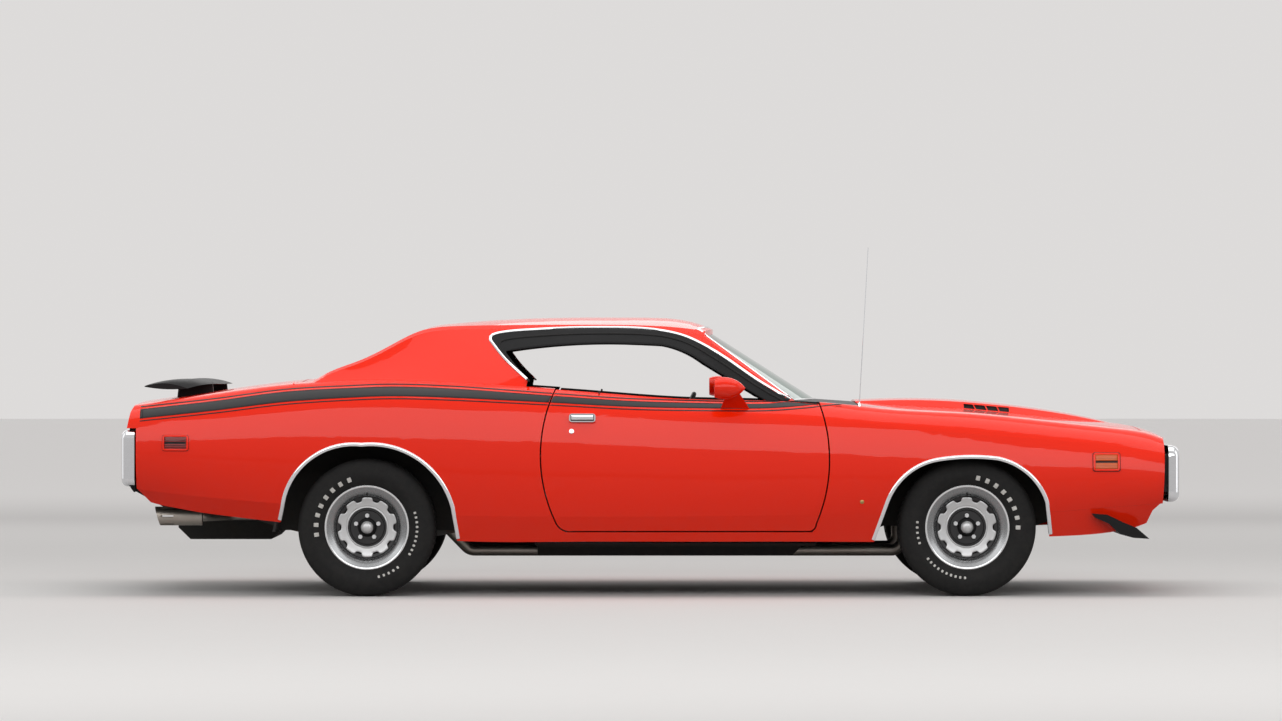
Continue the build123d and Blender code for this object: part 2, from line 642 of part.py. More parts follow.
def tunnel_section(inset=0.0, foot_z=200.0):
    """Arched section of the tunnel, drawn inwards by inset."""
    wall = TUNNEL_Y - inset
    spring_z = TUNNEL_Z - TUNNEL_CROWN - inset / 2
    with BuildSketch(Plane.YZ.offset(FIREWALL_X)) as arch:
        with BuildLine():
            Line((-wall, foot_z), (-wall, spring_z))
            ThreePointArc((-wall, spring_z), (0, TUNNEL_Z - inset), (wall, spring_z))
            Polyline((wall, spring_z), (wall, foot_z), (-wall, foot_z))
        make_face()
    return arch.sketch


with BuildPart() as floor_pan:
    add(extrude(floor_band(), amount=SILL_IN_Y, both=True, mode=Mode.PRIVATE))
    for y in (FLOOR_REAR_Y, -FLOOR_REAR_Y - 400):
        with BuildSketch(Plane.XZ.offset(y)):
            add(rear_arch(32))
        extrude(amount=400, mode=Mode.SUBTRACT)
    extrude(tunnel_section(), amount=TUNNEL_REAR_X - FIREWALL_X)
    extrude(tunnel_section(SHEET, 100), amount=TUNNEL_REAR_X - 260 - FIREWALL_X, mode=Mode.SUBTRACT)
    for side in (1, -1):
        with BuildSketch(Plane.XZ.offset(-side * RAIL_Y[0] if side < 0 else -RAIL_Y[1])):
            Polygon((760, FLOOR_Z - SHEET), (-560, FLOOR_Z - SHEET), (-560, RAIL_FOOT_Z),
                    (700, RAIL_FOOT_Z), align=None)
        extrude(amount=RAIL_Y[1] - RAIL_Y[0])

FIREWALL_Z = (240.0, 900.0)
with BuildPart() as firewall:
    with BuildSketch(Plane.YZ.offset(FIREWALL_X)):
        with Locations((0, sum(FIREWALL_Z) / 2)):
            Rectangle(2 * 930, FIREWALL_Z[1] - FIREWALL_Z[0])
        add(tunnel_section(), mode=Mode.SUBTRACT)
        with Locations((0, 200)):
            Rectangle(2 * SILL_IN_Y, 2 * 230, mode=Mode.SUBTRACT)
            Rectangle(2 * REACH, 2 * (SILL_TOP_Z - 200), mode=Mode.SUBTRACT)
    extrude(amount=2 * SHEET)
    add(fit_form, mode=Mode.INTERSECT)

# Front inner fenders: a housing over each wheel, a wall beside the engine and the radiator support.
INNER_WALL_Y = 440.0
SUPPORT_TALL = 360.0
LINER_FOOT_Z = 540.0
STRUT_Z = (400.0, 480.0)     # rails ahead of the arch
with BuildPart() as inner_fenders:
    with BuildSketch(Plane.XZ.offset(INNER_WALL_Y - SHEET)):
        Polygon((FIREWALL_X + 2 * SHEET, 330), (FIREWALL_X + 2 * SHEET, 840), (RADIATOR_X, 760),
                (RADIATOR_X, STRUT_Z[1]), (2060, STRUT_Z[1]), (1880, 410), (1130, 410), align=None)
    extrude(amount=SHEET)
    with BuildSketch(Plane.XZ.offset(INNER_WALL_Y)):
        add(front_arch(44))
        add(front_arch(32), mode=Mode.SUBTRACT)
        Rectangle(2 * PAST_END_X, 2 * LINER_FOOT_Z, mode=Mode.SUBTRACT)
    extrude(amount=500)
    with BuildSketch(Plane.YZ.offset(RADIATOR_X)):
        with Locations((-INNER_WALL_Y / 2, LATCH_Z - SUPPORT_TALL / 2)):
            Rectangle(INNER_WALL_Y, SUPPORT_TALL)
    extrude(amount=SUPPORT_T)
    with BuildSketch(Plane.XZ.offset(RAIL_Y[0])):
        Polygon((FIREWALL_X - 145, FLOOR_Z - SHEET), (700, RAIL_FOOT_Z), (FIREWALL_X, RAIL_FOOT_Z + 60),
                (1150, 330), (1900, 330), (2100, STRUT_Z[0]), (RADIATOR_X + SUPPORT_T, STRUT_Z[0]),
                (RADIATOR_X + SUPPORT_T, STRUT_Z[1]), (2060, STRUT_Z[1]), (1880, 410), (1130, 410),
                (FIREWALL_X, 330), align=None)
        Rectangle(2 * (FIREWALL_X + 2 * SHEET), 2000, mode=Mode.SUBTRACT)
    extrude(amount=RAIL_Y[1] - RAIL_Y[0])
    add(fit_form, mode=Mode.INTERSECT)
    mirror(about=Plane.XZ)

# Rear wheelhouses, notched round the axle.
AXLE_NOTCH = (150.0, 460.0)
with BuildPart() as wheelhouses:
    with BuildSketch(Plane.XZ.offset(FLOOR_REAR_Y)):
        add(rear_arch(32))
        Rectangle(2 * PAST_END_X, 2 * SILL_TOP_Z, mode=Mode.SUBTRACT)
        with Locations((REAR_AXLE_X, 0)):
            Rectangle(AXLE_NOTCH[0], 2 * AXLE_NOTCH[1], mode=Mode.SUBTRACT)
    extrude(amount=400)
    with BuildSketch(Plane.XZ.offset(FLOOR_REAR_Y + SHEET)):
        add(rear_arch(20))
    extrude(amount=400, mode=Mode.SUBTRACT)
    add(fit_form, mode=Mode.INTERSECT)
    mirror(about=Plane.XZ)

# ---- Tail ------------------------------------------------------------------------------------------
TAIL_SHEET = 25.0
TAIL_PANEL_Z = (505.0, 838.0, 955.0)     # foot, bend and top
with BuildPart() as tail_panel:
    with BuildSketch(Plane.XZ):
        foot_z, bend_z, top_z = TAIL_PANEL_Z
        Polygon((TAIL_WALL_X, foot_z + 3), (TAIL_WALL_X, bend_z - 3), (TAIL_WALL_X + TAIL_SHEET, top_z),
                (TAIL_WALL_X - 2, top_z), (TAIL_WALL_X - TAIL_SHEET, bend_z + 2),
                (TAIL_WALL_X - TAIL_SHEET, foot_z + 25), (TAIL_WALL_X - 8, foot_z), align=None)
    extrude(amount=REACH, both=True)
    add(fit_form, mode=Mode.INTERSECT)

# ---- Wheels and tyres ------------------------------------------------------------------------------
LUG_COUNT = 5
LUG_CIRCLE_R = 57.15
LUG_R = 11.0
NOTCHES = 10
NOTCH_R = 122.0
HUB_R = 36.0
HUB_RUNNING_FIT = 0.05
HUB_FACE = 40.0          # back of the wheel's centre, outboard of its middle plane
CENTRE_THICK = 10.0
TRIM_R = 207.0


def wheel_section():
    """Half section of the rim, trim ring and centre: local X outboard, local Y radius."""
    back = HUB_FACE
    face = HUB_FACE + CENTRE_THICK
    with BuildSketch(Plane.XY) as section:
        Polygon((-97, 198), (-97, 176), (-60, 158), (back - 6, 150), (back + 4, 128), (back, 96),
                (back, HUB_R), (face, HUB_R), (face, 96), (face + 6, 128), (face + 12, 148), (face + 34, 166),
                (face + 46, 192), (face + 46, TRIM_R), (face + 43, TRIM_R), (face + 43, BEAD_R - FIT),
                (-93, BEAD_R - FIT), (-93, 198), align=None)
    return section.sketch


with BuildPart() as wheel:
    with BuildSketch(Plane.XY):
        add(wheel_section())
    revolve(axis=Axis.X)
    with BuildSketch(Plane.YZ.offset(HUB_FACE - 20)):
        with PolarLocations(NOTCH_R, NOTCHES):
            SlotOverall(42, 24, rotation=90)
    extrude(amount=60, mode=Mode.SUBTRACT)
    with BuildSketch(Plane.YZ.offset(HUB_FACE + CENTRE_THICK)):
        with PolarLocations(LUG_CIRCLE_R, LUG_COUNT, start_angle=90):
            RegularPolygon(LUG_R, 6)
    extrude(amount=16)
    with BuildSketch(Plane.XY):
        with BuildLine():
            face = HUB_FACE + CENTRE_THICK
            Line((face, 0), (face, 44))
            Line((face, 44), (face + 12, 36))
            TangentArc((face + 42, 0), (face + 12, 36), tangent=(0, 1))
            Line((face + 42, 0), (face, 0))
        make_face()
    revolve(axis=Axis.X)

with BuildPart() as tyre:
    with BuildSketch(Plane.XY):
        Polygon((-84, BEAD_R), (-TYRE_W / 2, 262), (-TYRE_W / 2 + 6, 312), (-TREAD_W / 2, TYRE_R),
                (TREAD_W / 2, TYRE_R), (TYRE_W / 2 - 6, 312), (TYRE_W / 2, 262), (80, BEAD_R),
                align=None)
    revolve(axis=Axis.X)

corners = {
    "front_left": (FRONT_AXLE_X, FRONT_WHEEL_Y, 1),
    "front_right": (FRONT_AXLE_X, FRONT_WHEEL_Y, -1),
    "rear_left": (REAR_AXLE_X, REAR_WHEEL_Y, 1),
    "rear_right": (REAR_AXLE_X, REAR_WHEEL_Y, -1),
}


def at_corner(piece, corner):
    """A wheel piece turned outboard and put on its axle end."""
    x, y, side = corners[corner]
    return Location((x, side * y, TYRE_R), (0, 0, 90 * side)) * piece


# ---- Brake drums and steering knuckles -----------------------------------------------------------------
KING_PIN_Y = 690.0
KING_PIN_R = 20.0
DRUM_R = 140.0
DRUM_IN = -35.0          # drum's inner face from the wheel's middle plane
ARM_LEVELS = (222.0, 448.0)     # top of the lower arms, underside of the upper arms
ARM_THICK = 17.0

with BuildPart() as drum:
    with BuildSketch(Plane.XY):
        seat = HUB_FACE - FIT
        Polygon((DRUM_IN, 0), (DRUM_IN, DRUM_R), (22, DRUM_R), (32, 100), (32, 60), (seat, 60),
                (seat, HUB_R - HUB_RUNNING_FIT), (seat + 8, HUB_R - HUB_RUNNING_FIT), (seat + 8, 0),
                align=None)
    revolve(axis=Axis.X)

with BuildPart() as knuckle:
    add(drum.part)
    with BuildSketch(Plane.YZ.offset(KING_PIN_Y - FRONT_WHEEL_Y - 18)):
        Rectangle(56, 200)
    extrude(amount=60)
    with BuildSketch(Plane.XY.offset(ARM_LEVELS[0] + FIT - TYRE_R)):
        with Locations((KING_PIN_Y - FRONT_WHEEL_Y, 0)):
            Circle(KING_PIN_R)
    extrude(amount=ARM_LEVELS[1] - ARM_LEVELS[0] - 2 * FIT)
    with BuildSketch(Plane.XY.offset(-80)):
        Polygon((-50, -20), (-50, 20), (-108, 24), (-108, 160), (-134, 160), (-146, -20), align=None)
    extrude(amount=18)

with BuildPart() as knuckle_left:
    add(at_corner(knuckle.part, "front_left"))
with BuildPart() as knuckle_right:
    mirror(knuckle_left.part, about=Plane.XZ)

with BuildPart() as wheel_front_left:
    add(at_corner(wheel.part, "front_left"))
with BuildPart() as wheel_front_right:
    mirror(wheel_front_left.part, about=Plane.XZ)
with BuildPart() as wheel_rear_left:
    add(at_corner(wheel.part, "rear_left"))
with BuildPart() as wheel_rear_right:
    mirror(wheel_rear_left.part, about=Plane.XZ)
with BuildPart() as tyre_front_left:
    add(at_corner(tyre.part, "front_left"))
with BuildPart() as tyre_front_right:
    mirror(tyre_front_left.part, about=Plane.XZ)
with BuildPart() as tyre_rear_left:
    add(at_corner(tyre.part, "rear_left"))
with BuildPart() as tyre_rear_right:
    mirror(tyre_rear_left.part, about=Plane.XZ)

# ---- Front suspension: crossmember with lower and upper arms ---------------------------------------------
CROSS_Y = 300.0
CROSS_HALF = 75.0
with BuildPart() as front_suspension:
    with BuildSketch(Plane.YZ.offset(FRONT_AXLE_X - CROSS_HALF)):
        Polygon((-CROSS_Y, 205), (CROSS_Y, 205), (RAIL_Y[1], 262), (RAIL_Y[1], 330), (-RAIL_Y[1], 330),
                (-RAIL_Y[1], 262), align=None)
    extrude(amount=2 * CROSS_HALF)
    for low, root_y in ((ARM_LEVELS[0] - ARM_THICK, CROSS_Y - 20), (ARM_LEVELS[1], INNER_WALL_Y + FIT)):
        with BuildSketch(Plane.XY.offset(low)):
            Polygon((FRONT_AXLE_X - 110, root_y), (FRONT_AXLE_X + 110, root_y),
                    (FRONT_AXLE_X + 22, KING_PIN_Y + 16), (FRONT_AXLE_X - 22, KING_PIN_Y + 16), align=None)
            mirror(about=Plane.XZ)
        extrude(amount=ARM_THICK)

# ---- Engine with gearbox, propshaft, rear axle, exhaust, tank --------------------------------------------
ENGINE_X = (1000.0, 1700.0)
ENGINE_Y = 270.0
ENGINE_Z = (330.0, 800.0)
GEARBOX_R = 82.0
GEARBOX_REAR_X = 330.0
PINION_NOSE_X = REAR_AXLE_X + 240.0
PROPSHAFT_R = 38.0
with BuildPart() as engine:
    with BuildSketch(Plane.XY.offset(ENGINE_Z[0])):
        with Locations(((ENGINE_X[0] + ENGINE_X[1]) / 2, 0)):
            Rectangle(ENGINE_X[1] - ENGINE_X[0], 2 * ENGINE_Y)
    extrude(amount=ENGINE_Z[1] - ENGINE_Z[0])
    with BuildSketch(Plane.YZ.offset(GEARBOX_REAR_X)):
        with Locations((0, TYRE_R)):
            Circle(GEARBOX_R)
    extrude(amount=ENGINE_X[0] - GEARBOX_REAR_X)

with BuildPart() as propshaft:
    with BuildSketch(Plane.YZ.offset(PINION_NOSE_X)):
        with Locations((0, TYRE_R)):
            Circle(PROPSHAFT_R)
    extrude(amount=GEARBOX_REAR_X - PINION_NOSE_X)

AXLE_TUBE_R = 44.0
AXLE_BOWL_R = 150.0
PINION_R = 66.0
SPRING_Y = 560.0
SPRING_W = 64.0
SPRING_REAR_X = REAR_AXLE_X - 690.0
SPRING_FRONT_X = REAR_AXLE_X + 560.0
with BuildPart() as rear_axle:
    with BuildSketch(Plane.XZ.offset(-(REAR_WHEEL_Y + DRUM_IN))):
        with Locations((REAR_AXLE_X, TYRE_R)):
            Circle(AXLE_TUBE_R)
    extrude(amount=2 * (REAR_WHEEL_Y + DRUM_IN))
    add(at_corner(drum.part, "rear_left"))
    add(at_corner(drum.part, "rear_right"))
    with Locations((REAR_AXLE_X, 0, TYRE_R)):
        Sphere(AXLE_BOWL_R)
    with BuildSketch(Plane.YZ.offset(REAR_AXLE_X)):
        with Locations((0, TYRE_R)):
            Circle(PINION_R)
    extrude(amount=PINION_NOSE_X - REAR_AXLE_X)
    for side in (1, -1):
        with BuildSketch(Plane.XZ.offset(side * SPRING_Y - SPRING_W / 2)):
            with BuildLine():
                rear_top = TRUNK_FLOOR_Z - SHEET
                ThreePointArc((SPRING_REAR_X, rear_top - 18), (REAR_AXLE_X, 262), (SPRING_FRONT_X, 336))
                Line((SPRING_FRONT_X, 336), (SPRING_FRONT_X, 360))
                ThreePointArc((SPRING_FRONT_X, 360), (REAR_AXLE_X, 294), (SPRING_REAR_X, rear_top))
                Line((SPRING_REAR_X, rear_top), (SPRING_REAR_X, rear_top - 18))
            make_face()
        extrude(amount=SPRING_W)

PIPE_R = 28.0
TIP_R = 46.0
TIP_Y = 700.0
TIP_Z = 386.0
TIP_X = (-2195.0, -2427.0)
TIP_SLOTS = 3             # each cuts both walls
TIP_SLOT = (62.0, 11.0)
TIP_SLANT = 26.0
with BuildPart() as exhaust_right:
    with BuildLine() as route:
        FilletPolyline((1250, -ENGINE_Y - PIPE_R - FIT, 520), (1250, -ENGINE_Y - PIPE_R - FIT, 205),
                       (-900, -298, 205), (-1130, -360, 445), (-1600, -360, 445), (-1800, -440, TIP_Z),
                       (-2080, -440, TIP_Z), (-2190, -TIP_Y + 60, TIP_Z), (-2300, -TIP_Y, TIP_Z), radius=55)
    with BuildSketch(Plane(origin=route.line @ 0, z_dir=route.line % 0)):
        Circle(PIPE_R)
    sweep(path=route.line)
    with BuildSketch(Plane.YZ.offset(TIP_X[0])):
        with Locations((-TIP_Y, TIP_Z)):
            Circle(TIP_R)
            Circle(TIP_R - 8, mode=Mode.SUBTRACT)
    extrude(amount=TIP_X[1] - TIP_X[0])
    with BuildSketch(Plane.YZ.offset(TIP_X[0])):
        with Locations((-TIP_Y, TIP_Z)):
            Circle(TIP_R)
    extrude(amount=-40)
    for turn in range(TIP_SLOTS):
        add(Pos(TIP_X[1] + TIP_SLOT[0], -TIP_Y, TIP_Z) * Rot(180 * turn / TIP_SLOTS, 0, 0)
            * Box(TIP_SLOT[0], 3 * TIP_R, TIP_SLOT[1], mode=Mode.PRIVATE), mode=Mode.SUBTRACT)
    with BuildSketch(Plane.XZ.offset(TIP_Y - 2 * TIP_R)):
        Polygon((TIP_X[1], TIP_Z + TIP_R), (TIP_X[1] + TIP_SLANT, TIP_Z - TIP_R), (TIP_X[1] - 10, TIP_Z - TIP_R),
                (TIP_X[1] - 10, TIP_Z + TIP_R), align=None)
    extrude(amount=4 * TIP_R, mode=Mode.SUBTRACT)
with BuildPart() as exhaust:
    add(exhaust_right.part)
    mirror(exhaust_right.part, about=Plane.XZ)

TANK_Y = 380.0
TANK_X = (-2340.0, -1840.0)
TANK_FOOT_Z = 262.0
with BuildPart() as fuel_tank:
    with BuildSketch(Plane.XZ):
        Polygon((TANK_X[1], TRUNK_FLOOR_Z - SHEET), (TANK_X[1], TANK_FOOT_Z + 38),
                (TANK_X[1] - 40, TANK_FOOT_Z), (TANK_X[0] + 60, TANK_FOOT_Z), (TANK_X[0], TANK_FOOT_Z + 58),
                (TANK_X[0], TRUNK_FLOOR_Z - SHEET), align=None)
    extrude(amount=TANK_Y, both=True)

# ---- Cabin ---------------------------------------------------------------------------------------------
SEAT_Y = (190.0, 690.0)
with BuildPart() as front_seats:
    with BuildSketch(Plane.XZ.offset(SEAT_Y[0])):
        Polygon((360, FLOOR_Z + FIT), (400, 470), (330, 505), (-90, 455), (-270, 930), (-330, 960),
                (-385, 920), (-210, 400), (-150, FLOOR_Z + FIT), align=None)
    extrude(amount=SEAT_Y[1] - SEAT_Y[0])
    mirror(about=Plane.XZ)

with BuildPart() as rear_seat:
    with BuildSketch(Plane.XZ.offset(-(FLOOR_REAR_Y - 6))):
        Polygon((-470, FLOOR_Z + FIT), (-470, 470), (-520, 490), (-890, 450), (-1080, 880), (-1120, 905),
                (-1236, 905), (-1236, 700), (-1100, AXLE_FLOOR_Z + FIT), (-1029, AXLE_FLOOR_Z + FIT),
                (-930 + 1, 391), (-610 + 1, 341), (-560 + 1, FLOOR_Z + FIT), align=None)
    extrude(amount=2 * (FLOOR_REAR_Y - 6))
    with BuildSketch(Plane.XY.offset(100)):
        with Locations((-700, 0)):
            Rectangle(500, 2 * TUNNEL_Y + 4)
    extrude(amount=TUNNEL_Z - 98, mode=Mode.SUBTRACT)

DASH_Y = 808.0
with BuildPart() as dashboard:
    with BuildSketch(Plane.XZ.offset(-DASH_Y)):
        Polygon((FIREWALL_X - FIT, 895), (470, 905), (400, 880), (395, 800), (440, 690), (560, 640),
                (600, 640), (600, 700), (FIREWALL_X - FIT, 850), align=None)
    extrude(amount=2 * DASH_Y)

STEER_HUB = (150.0, 370.0, 800.0)
STEER_R = 190.0
STEER_GRIP_R = 12.0
STEER_TILT = 22.0
STEER_BOSS_R = 42.0
STEER_BOSS_LONG = 45.0
COLUMN_R = 24.0
COLUMN_LONG = 430.0
steer_axis = Vector(cos(radians(STEER_TILT)), 0, -sin(radians(STEER_TILT)))
steer_plane = Plane(origin=STEER_HUB, x_dir=(0, 1, 0), z_dir=steer_axis)
steer_side = Plane(origin=STEER_HUB, x_dir=steer_axis, z_dir=(0, -1, 0))
with BuildPart() as steering_wheel:
    for radius, length in ((STEER_BOSS_R, STEER_BOSS_LONG), (COLUMN_R, COLUMN_LONG)):
        with BuildSketch(steer_plane):
            Circle(radius)
        extrude(amount=length)
    with BuildSketch(steer_side):
        with Locations((0, STEER_R)):
            Circle(STEER_GRIP_R)
    revolve(axis=Axis(STEER_HUB, steer_axis))
    with BuildSketch(steer_plane):
        with PolarLocations(STEER_R / 2, 3, start_angle=90):
            Rectangle(STEER_R, 26)
    extrude(amount=6)
    add(dashboard.part, mode=Mode.SUBTRACT)

# ---- Front end -----------------------------------------------------------------------------------------
BUMPER_REAR_X = 2515.0
BUMPER_CORNER_X = 2566.0
BUMPER_Y = 905.0
BUMPER_Z = (459.0, 733.0)
BUMPER_ROUND = 16.0        # edges of the mouth
BUMPER_CROWN = 38.0        # outer edges, top, bottom and ends
REAR_BUMPER_CROWN = 32.0
MOUTH_Y = 795.0
MOUTH_Z = (522.0, 674.0)
LAMP_Y = (700.0, 545.0)
LAMP_R = 72.0
LAMP_Z = 598.0
with BuildPart() as front_bumper:
    with BuildSketch(Plane.XY.offset(BUMPER_Z[0])):
        with BuildLine():
            ThreePointArc((BUMPER_CORNER_X, -BUMPER_Y), (NOSE_X, 0), (BUMPER_CORNER_X, BUMPER_Y))
            Polyline((BUMPER_CORNER_X, BUMPER_Y), (BUMPER_REAR_X, BUMPER_Y + 4),
                     (BUMPER_REAR_X, -BUMPER_Y - 4), (BUMPER_CORNER_X, -BUMPER_Y))
        make_face()
    extrude(amount=BUMPER_Z[1] - BUMPER_Z[0])
    with BuildSketch(Plane.YZ.offset(BUMPER_REAR_X)):
        with Locations((0, sum(BUMPER_Z) / 2)):
            RectangleRounded(2 * BUMPER_Y + 8, BUMPER_Z[1] - BUMPER_Z[0], 60)
    extrude(amount=200, mode=Mode.INTERSECT)
    with BuildSketch(Plane.YZ.offset(BUMPER_REAR_X)):
        with Locations((0, sum(MOUTH_Z) / 2)):
            RectangleRounded(2 * MOUTH_Y, MOUTH_Z[1] - MOUTH_Z[0], 50)
    extrude(amount=200, mode=Mode.SUBTRACT)
    for side in (1, -1):
        with BuildSketch(Plane.YZ.offset(RADIATOR_X + SUPPORT_T)):
            with Locations((side * sum(RAIL_Y) / 2, BUMPER_Z[0] + 12)):
                Rectangle(RAIL_Y[1] - RAIL_Y[0] - 10, 18)
        extrude(amount=BUMPER_REAR_X - RADIATOR_X - 20)
    fillet(front_bumper.faces().sort_by(Axis.X)[-1].outer_wire().edges(), BUMPER_CROWN)
    fillet(front_bumper.faces().sort_by(Axis.X)[-1].inner_wires()[0].edges(), BUMPER_ROUND)

LAMP_DEEP = (40.0, 58.0)       # height of the lens's rim and of its crown above the seat
GRILLE_X = 2484.0
FIN_COUNT = 9
FIN_T = 4.0
FIN_DEEP = 26.0
FIN_Y = 452.0
DIVIDER_W = 44.0
BEZEL_W = 3.7
with BuildPart() as grille:
    with BuildSketch(Plane.YZ.offset(GRILLE_X)):
        with Locations((0, sum(MOUTH_Z) / 2)):
            Rectangle(2 * MOUTH_Y + 72, MOUTH_Z[1] - MOUTH_Z[0] + 30)
        for side in (1, -1):
            for y in LAMP_Y:
                with Locations((side * y, LAMP_Z)):
                    Circle(LAMP_R + FIT, mode=Mode.SUBTRACT)
    extrude(amount=BUMPER_REAR_X - FIT - GRILLE_X)
    with BuildSketch(Plane.YZ.offset(BUMPER_REAR_X - FIT)):
        for index in range(1, FIN_COUNT + 1):
            with Locations((0, MOUTH_Z[0] + (MOUTH_Z[1] - MOUTH_Z[0]) * index / (FIN_COUNT + 1))):
                Rectangle(2 * FIN_Y, FIN_T)
    extrude(amount=FIN_DEEP)
    with BuildSketch(Plane.YZ.offset(BUMPER_REAR_X - FIT)):
        with Locations((0, sum(MOUTH_Z) / 2)):
            Rectangle(DIVIDER_W, MOUTH_Z[1] - MOUTH_Z[0] - 4)
        for side in (1, -1):
            for y in LAMP_Y:
                with Locations((side * y, LAMP_Z)):
                    Circle(LAMP_R + BEZEL_W)
                    Circle(LAMP_R + FIT, mode=Mode.SUBTRACT)
    extrude(amount=FIN_DEEP - 4)

with BuildPart() as headlamps:
    with BuildSketch(Plane.XY.offset(LAMP_Z)):
        with BuildLine():
            Line((GRILLE_X, LAMP_Y[0]), (GRILLE_X, LAMP_Y[0] + LAMP_R))
            Line((GRILLE_X, LAMP_Y[0] + LAMP_R), (GRILLE_X + LAMP_DEEP[0], LAMP_Y[0] + LAMP_R))
            TangentArc((GRILLE_X + LAMP_DEEP[1], LAMP_Y[0]), (GRILLE_X + LAMP_DEEP[0], LAMP_Y[0] + LAMP_R),
                       tangent=(0, 1))
            Line((GRILLE_X + LAMP_DEEP[1], LAMP_Y[0]), (GRILLE_X, LAMP_Y[0]))
        make_face()
    revolve(axis=Axis((0, LAMP_Y[0], LAMP_Z), (1, 0, 0)))
    add(Pos(0, LAMP_Y[1] - LAMP_Y[0], 0) * headlamps.part)
    mirror(about=Plane.XZ)

VALANCE_FRONT = [(2477, 450), (2442, 418), (2427, 385), (2414, 355), (2358, 334)]
with BuildPart() as valance_sides:
    add(skin.part)
    with BuildSketch(Plane.XZ):
        Polygon(*[(x, z - FIT) for x, z in FENDER_FOOT], *VALANCE_FRONT, (2296, 321), (2224, 307),
                (2054, 292), (1943, 280), (1860, 240), align=None)
        add(front_arch(), mode=Mode.SUBTRACT)
    extrude(amount=REACH, both=True, mode=Mode.INTERSECT)
with BuildPart() as front_valance:
    with BuildSketch(Plane.XZ):
        Polygon(*VALANCE_FRONT, *[(x - 22, z - 6) for x, z in reversed(VALANCE_FRONT)], align=None)
    extrude(amount=900, both=True)
    add(outer, mode=Mode.INTERSECT)
    add(valance_sides.part)

near_skin = body_form(-FIT)
SPOILER_Y = (520.0, 925.0)
with BuildPart() as chin_spoilers:
    with BuildSketch(Plane.XZ.offset(SPOILER_Y[0])):
        Polygon((2142, 404), (2216, 398), (2287, 364), (2357, 335), (2420, 281), (2342, 286), (2279, 303),
                (2226, 354), (2158, 383), align=None)
    extrude(amount=SPOILER_Y[1] - SPOILER_Y[0])
    add(near_skin, mode=Mode.SUBTRACT)
    mirror(about=Plane.XZ)

# ---- Rear end ------------------------------------------------------------------------------------------
REAR_BUMPER_Z = (534.0, 810.0)
REAR_CORNER_X = -2572.0
REAR_BUMPER_Y = 908.0
LENS_Z = (632.0, 752.0)
LENS_Y = (230.0, 800.0)
LENS_COUNT = 3
PLATE_SEAT_X = -2590.0     # flat seat of the number plate, sunk in the bumper's face
PLATE_SEAT_Z = (592.0, 756.0)
PLATE_SEAT_W = 316.0
PLATE_HOLE_Y = 88.9       # number plate screws, half their spacing
PLATE_HOLE_Z = 742.0
PLATE_HOLE_R = 3.2
PLATE_HOLE_DEEP = 30.0
LENS_GAP = 22.0
LENS_PROUD = 34.0
BACK_X = TAIL_WALL_X - TAIL_SHEET - FIT     # back face, seated on the tail panel
BACK_Y = 884.0
with BuildPart() as rear_bumper:
    with BuildSketch(Plane.XY.offset(REAR_BUMPER_Z[0])):
        with BuildLine():
            ThreePointArc((REAR_CORNER_X, -REAR_BUMPER_Y), (TAIL_X, 0), (REAR_CORNER_X, REAR_BUMPER_Y))
            Polyline((REAR_CORNER_X, REAR_BUMPER_Y), (TAIL_WALL_X + 2, REAR_BUMPER_Y),
                     (TAIL_WALL_X + 2, BACK_Y), (BACK_X, BACK_Y), (BACK_X, -BACK_Y), (TAIL_WALL_X + 2, -BACK_Y),
                     (TAIL_WALL_X + 2, -REAR_BUMPER_Y), (REAR_CORNER_X, -REAR_BUMPER_Y))
        make_face()
    extrude(amount=REAR_BUMPER_Z[1] - REAR_BUMPER_Z[0])
    with BuildSketch(Plane.YZ.offset(TAIL_WALL_X + 2)):
        with Locations((0, sum(REAR_BUMPER_Z) / 2)):
            RectangleRounded(2 * REAR_BUMPER_Y + 6, REAR_BUMPER_Z[1] - REAR_BUMPER_Z[0], 55)
    extrude(amount=-200, mode=Mode.INTERSECT)
    fillet(rear_bumper.faces().sort_by(Axis.X)[0].edges(), REAR_BUMPER_CROWN)
    for side in (1, -1):
        with BuildSketch(Plane.YZ.offset(BACK_X)):
            with Locations((side * sum(LENS_Y) / 2, sum(LENS_Z) / 2)):
                RectangleRounded(LENS_Y[1] - LENS_Y[0], LENS_Z[1] - LENS_Z[0], 18)
        extrude(amount=-200, mode=Mode.SUBTRACT)
    with BuildSketch(Plane.YZ.offset(PLATE_SEAT_X)):
        with Locations((0, sum(PLATE_SEAT_Z) / 2)):
            RectangleRounded(PLATE_SEAT_W, PLATE_SEAT_Z[1] - PLATE_SEAT_Z[0], 8)
    extrude(amount=-60, mode=Mode.SUBTRACT)
    with BuildSketch(Plane.YZ.offset(PLATE_SEAT_X)):
        with Locations((-PLATE_HOLE_Y, PLATE_HOLE_Z), (PLATE_HOLE_Y, PLATE_HOLE_Z)):
            Circle(PLATE_HOLE_R)
    extrude(amount=PLATE_HOLE_DEEP, mode=Mode.SUBTRACT)

LENS_W = (LENS_Y[1] - LENS_Y[0] - (LENS_COUNT - 1) * LENS_GAP - 2 * FIT) / LENS_COUNT
with BuildPart() as tail_lamps:
    for side in (1, -1):
        for index in range(LENS_COUNT):
            y = LENS_Y[0] + FIT + LENS_W / 2 + index * (LENS_W + LENS_GAP)
            with BuildSketch(Plane.YZ.offset(BACK_X)):
                with Locations((side * y, sum(LENS_Z) / 2)):
                    RectangleRounded(LENS_W, LENS_Z[1] - LENS_Z[0] - 2 * FIT, 20)
            extrude(amount=-LENS_PROUD)

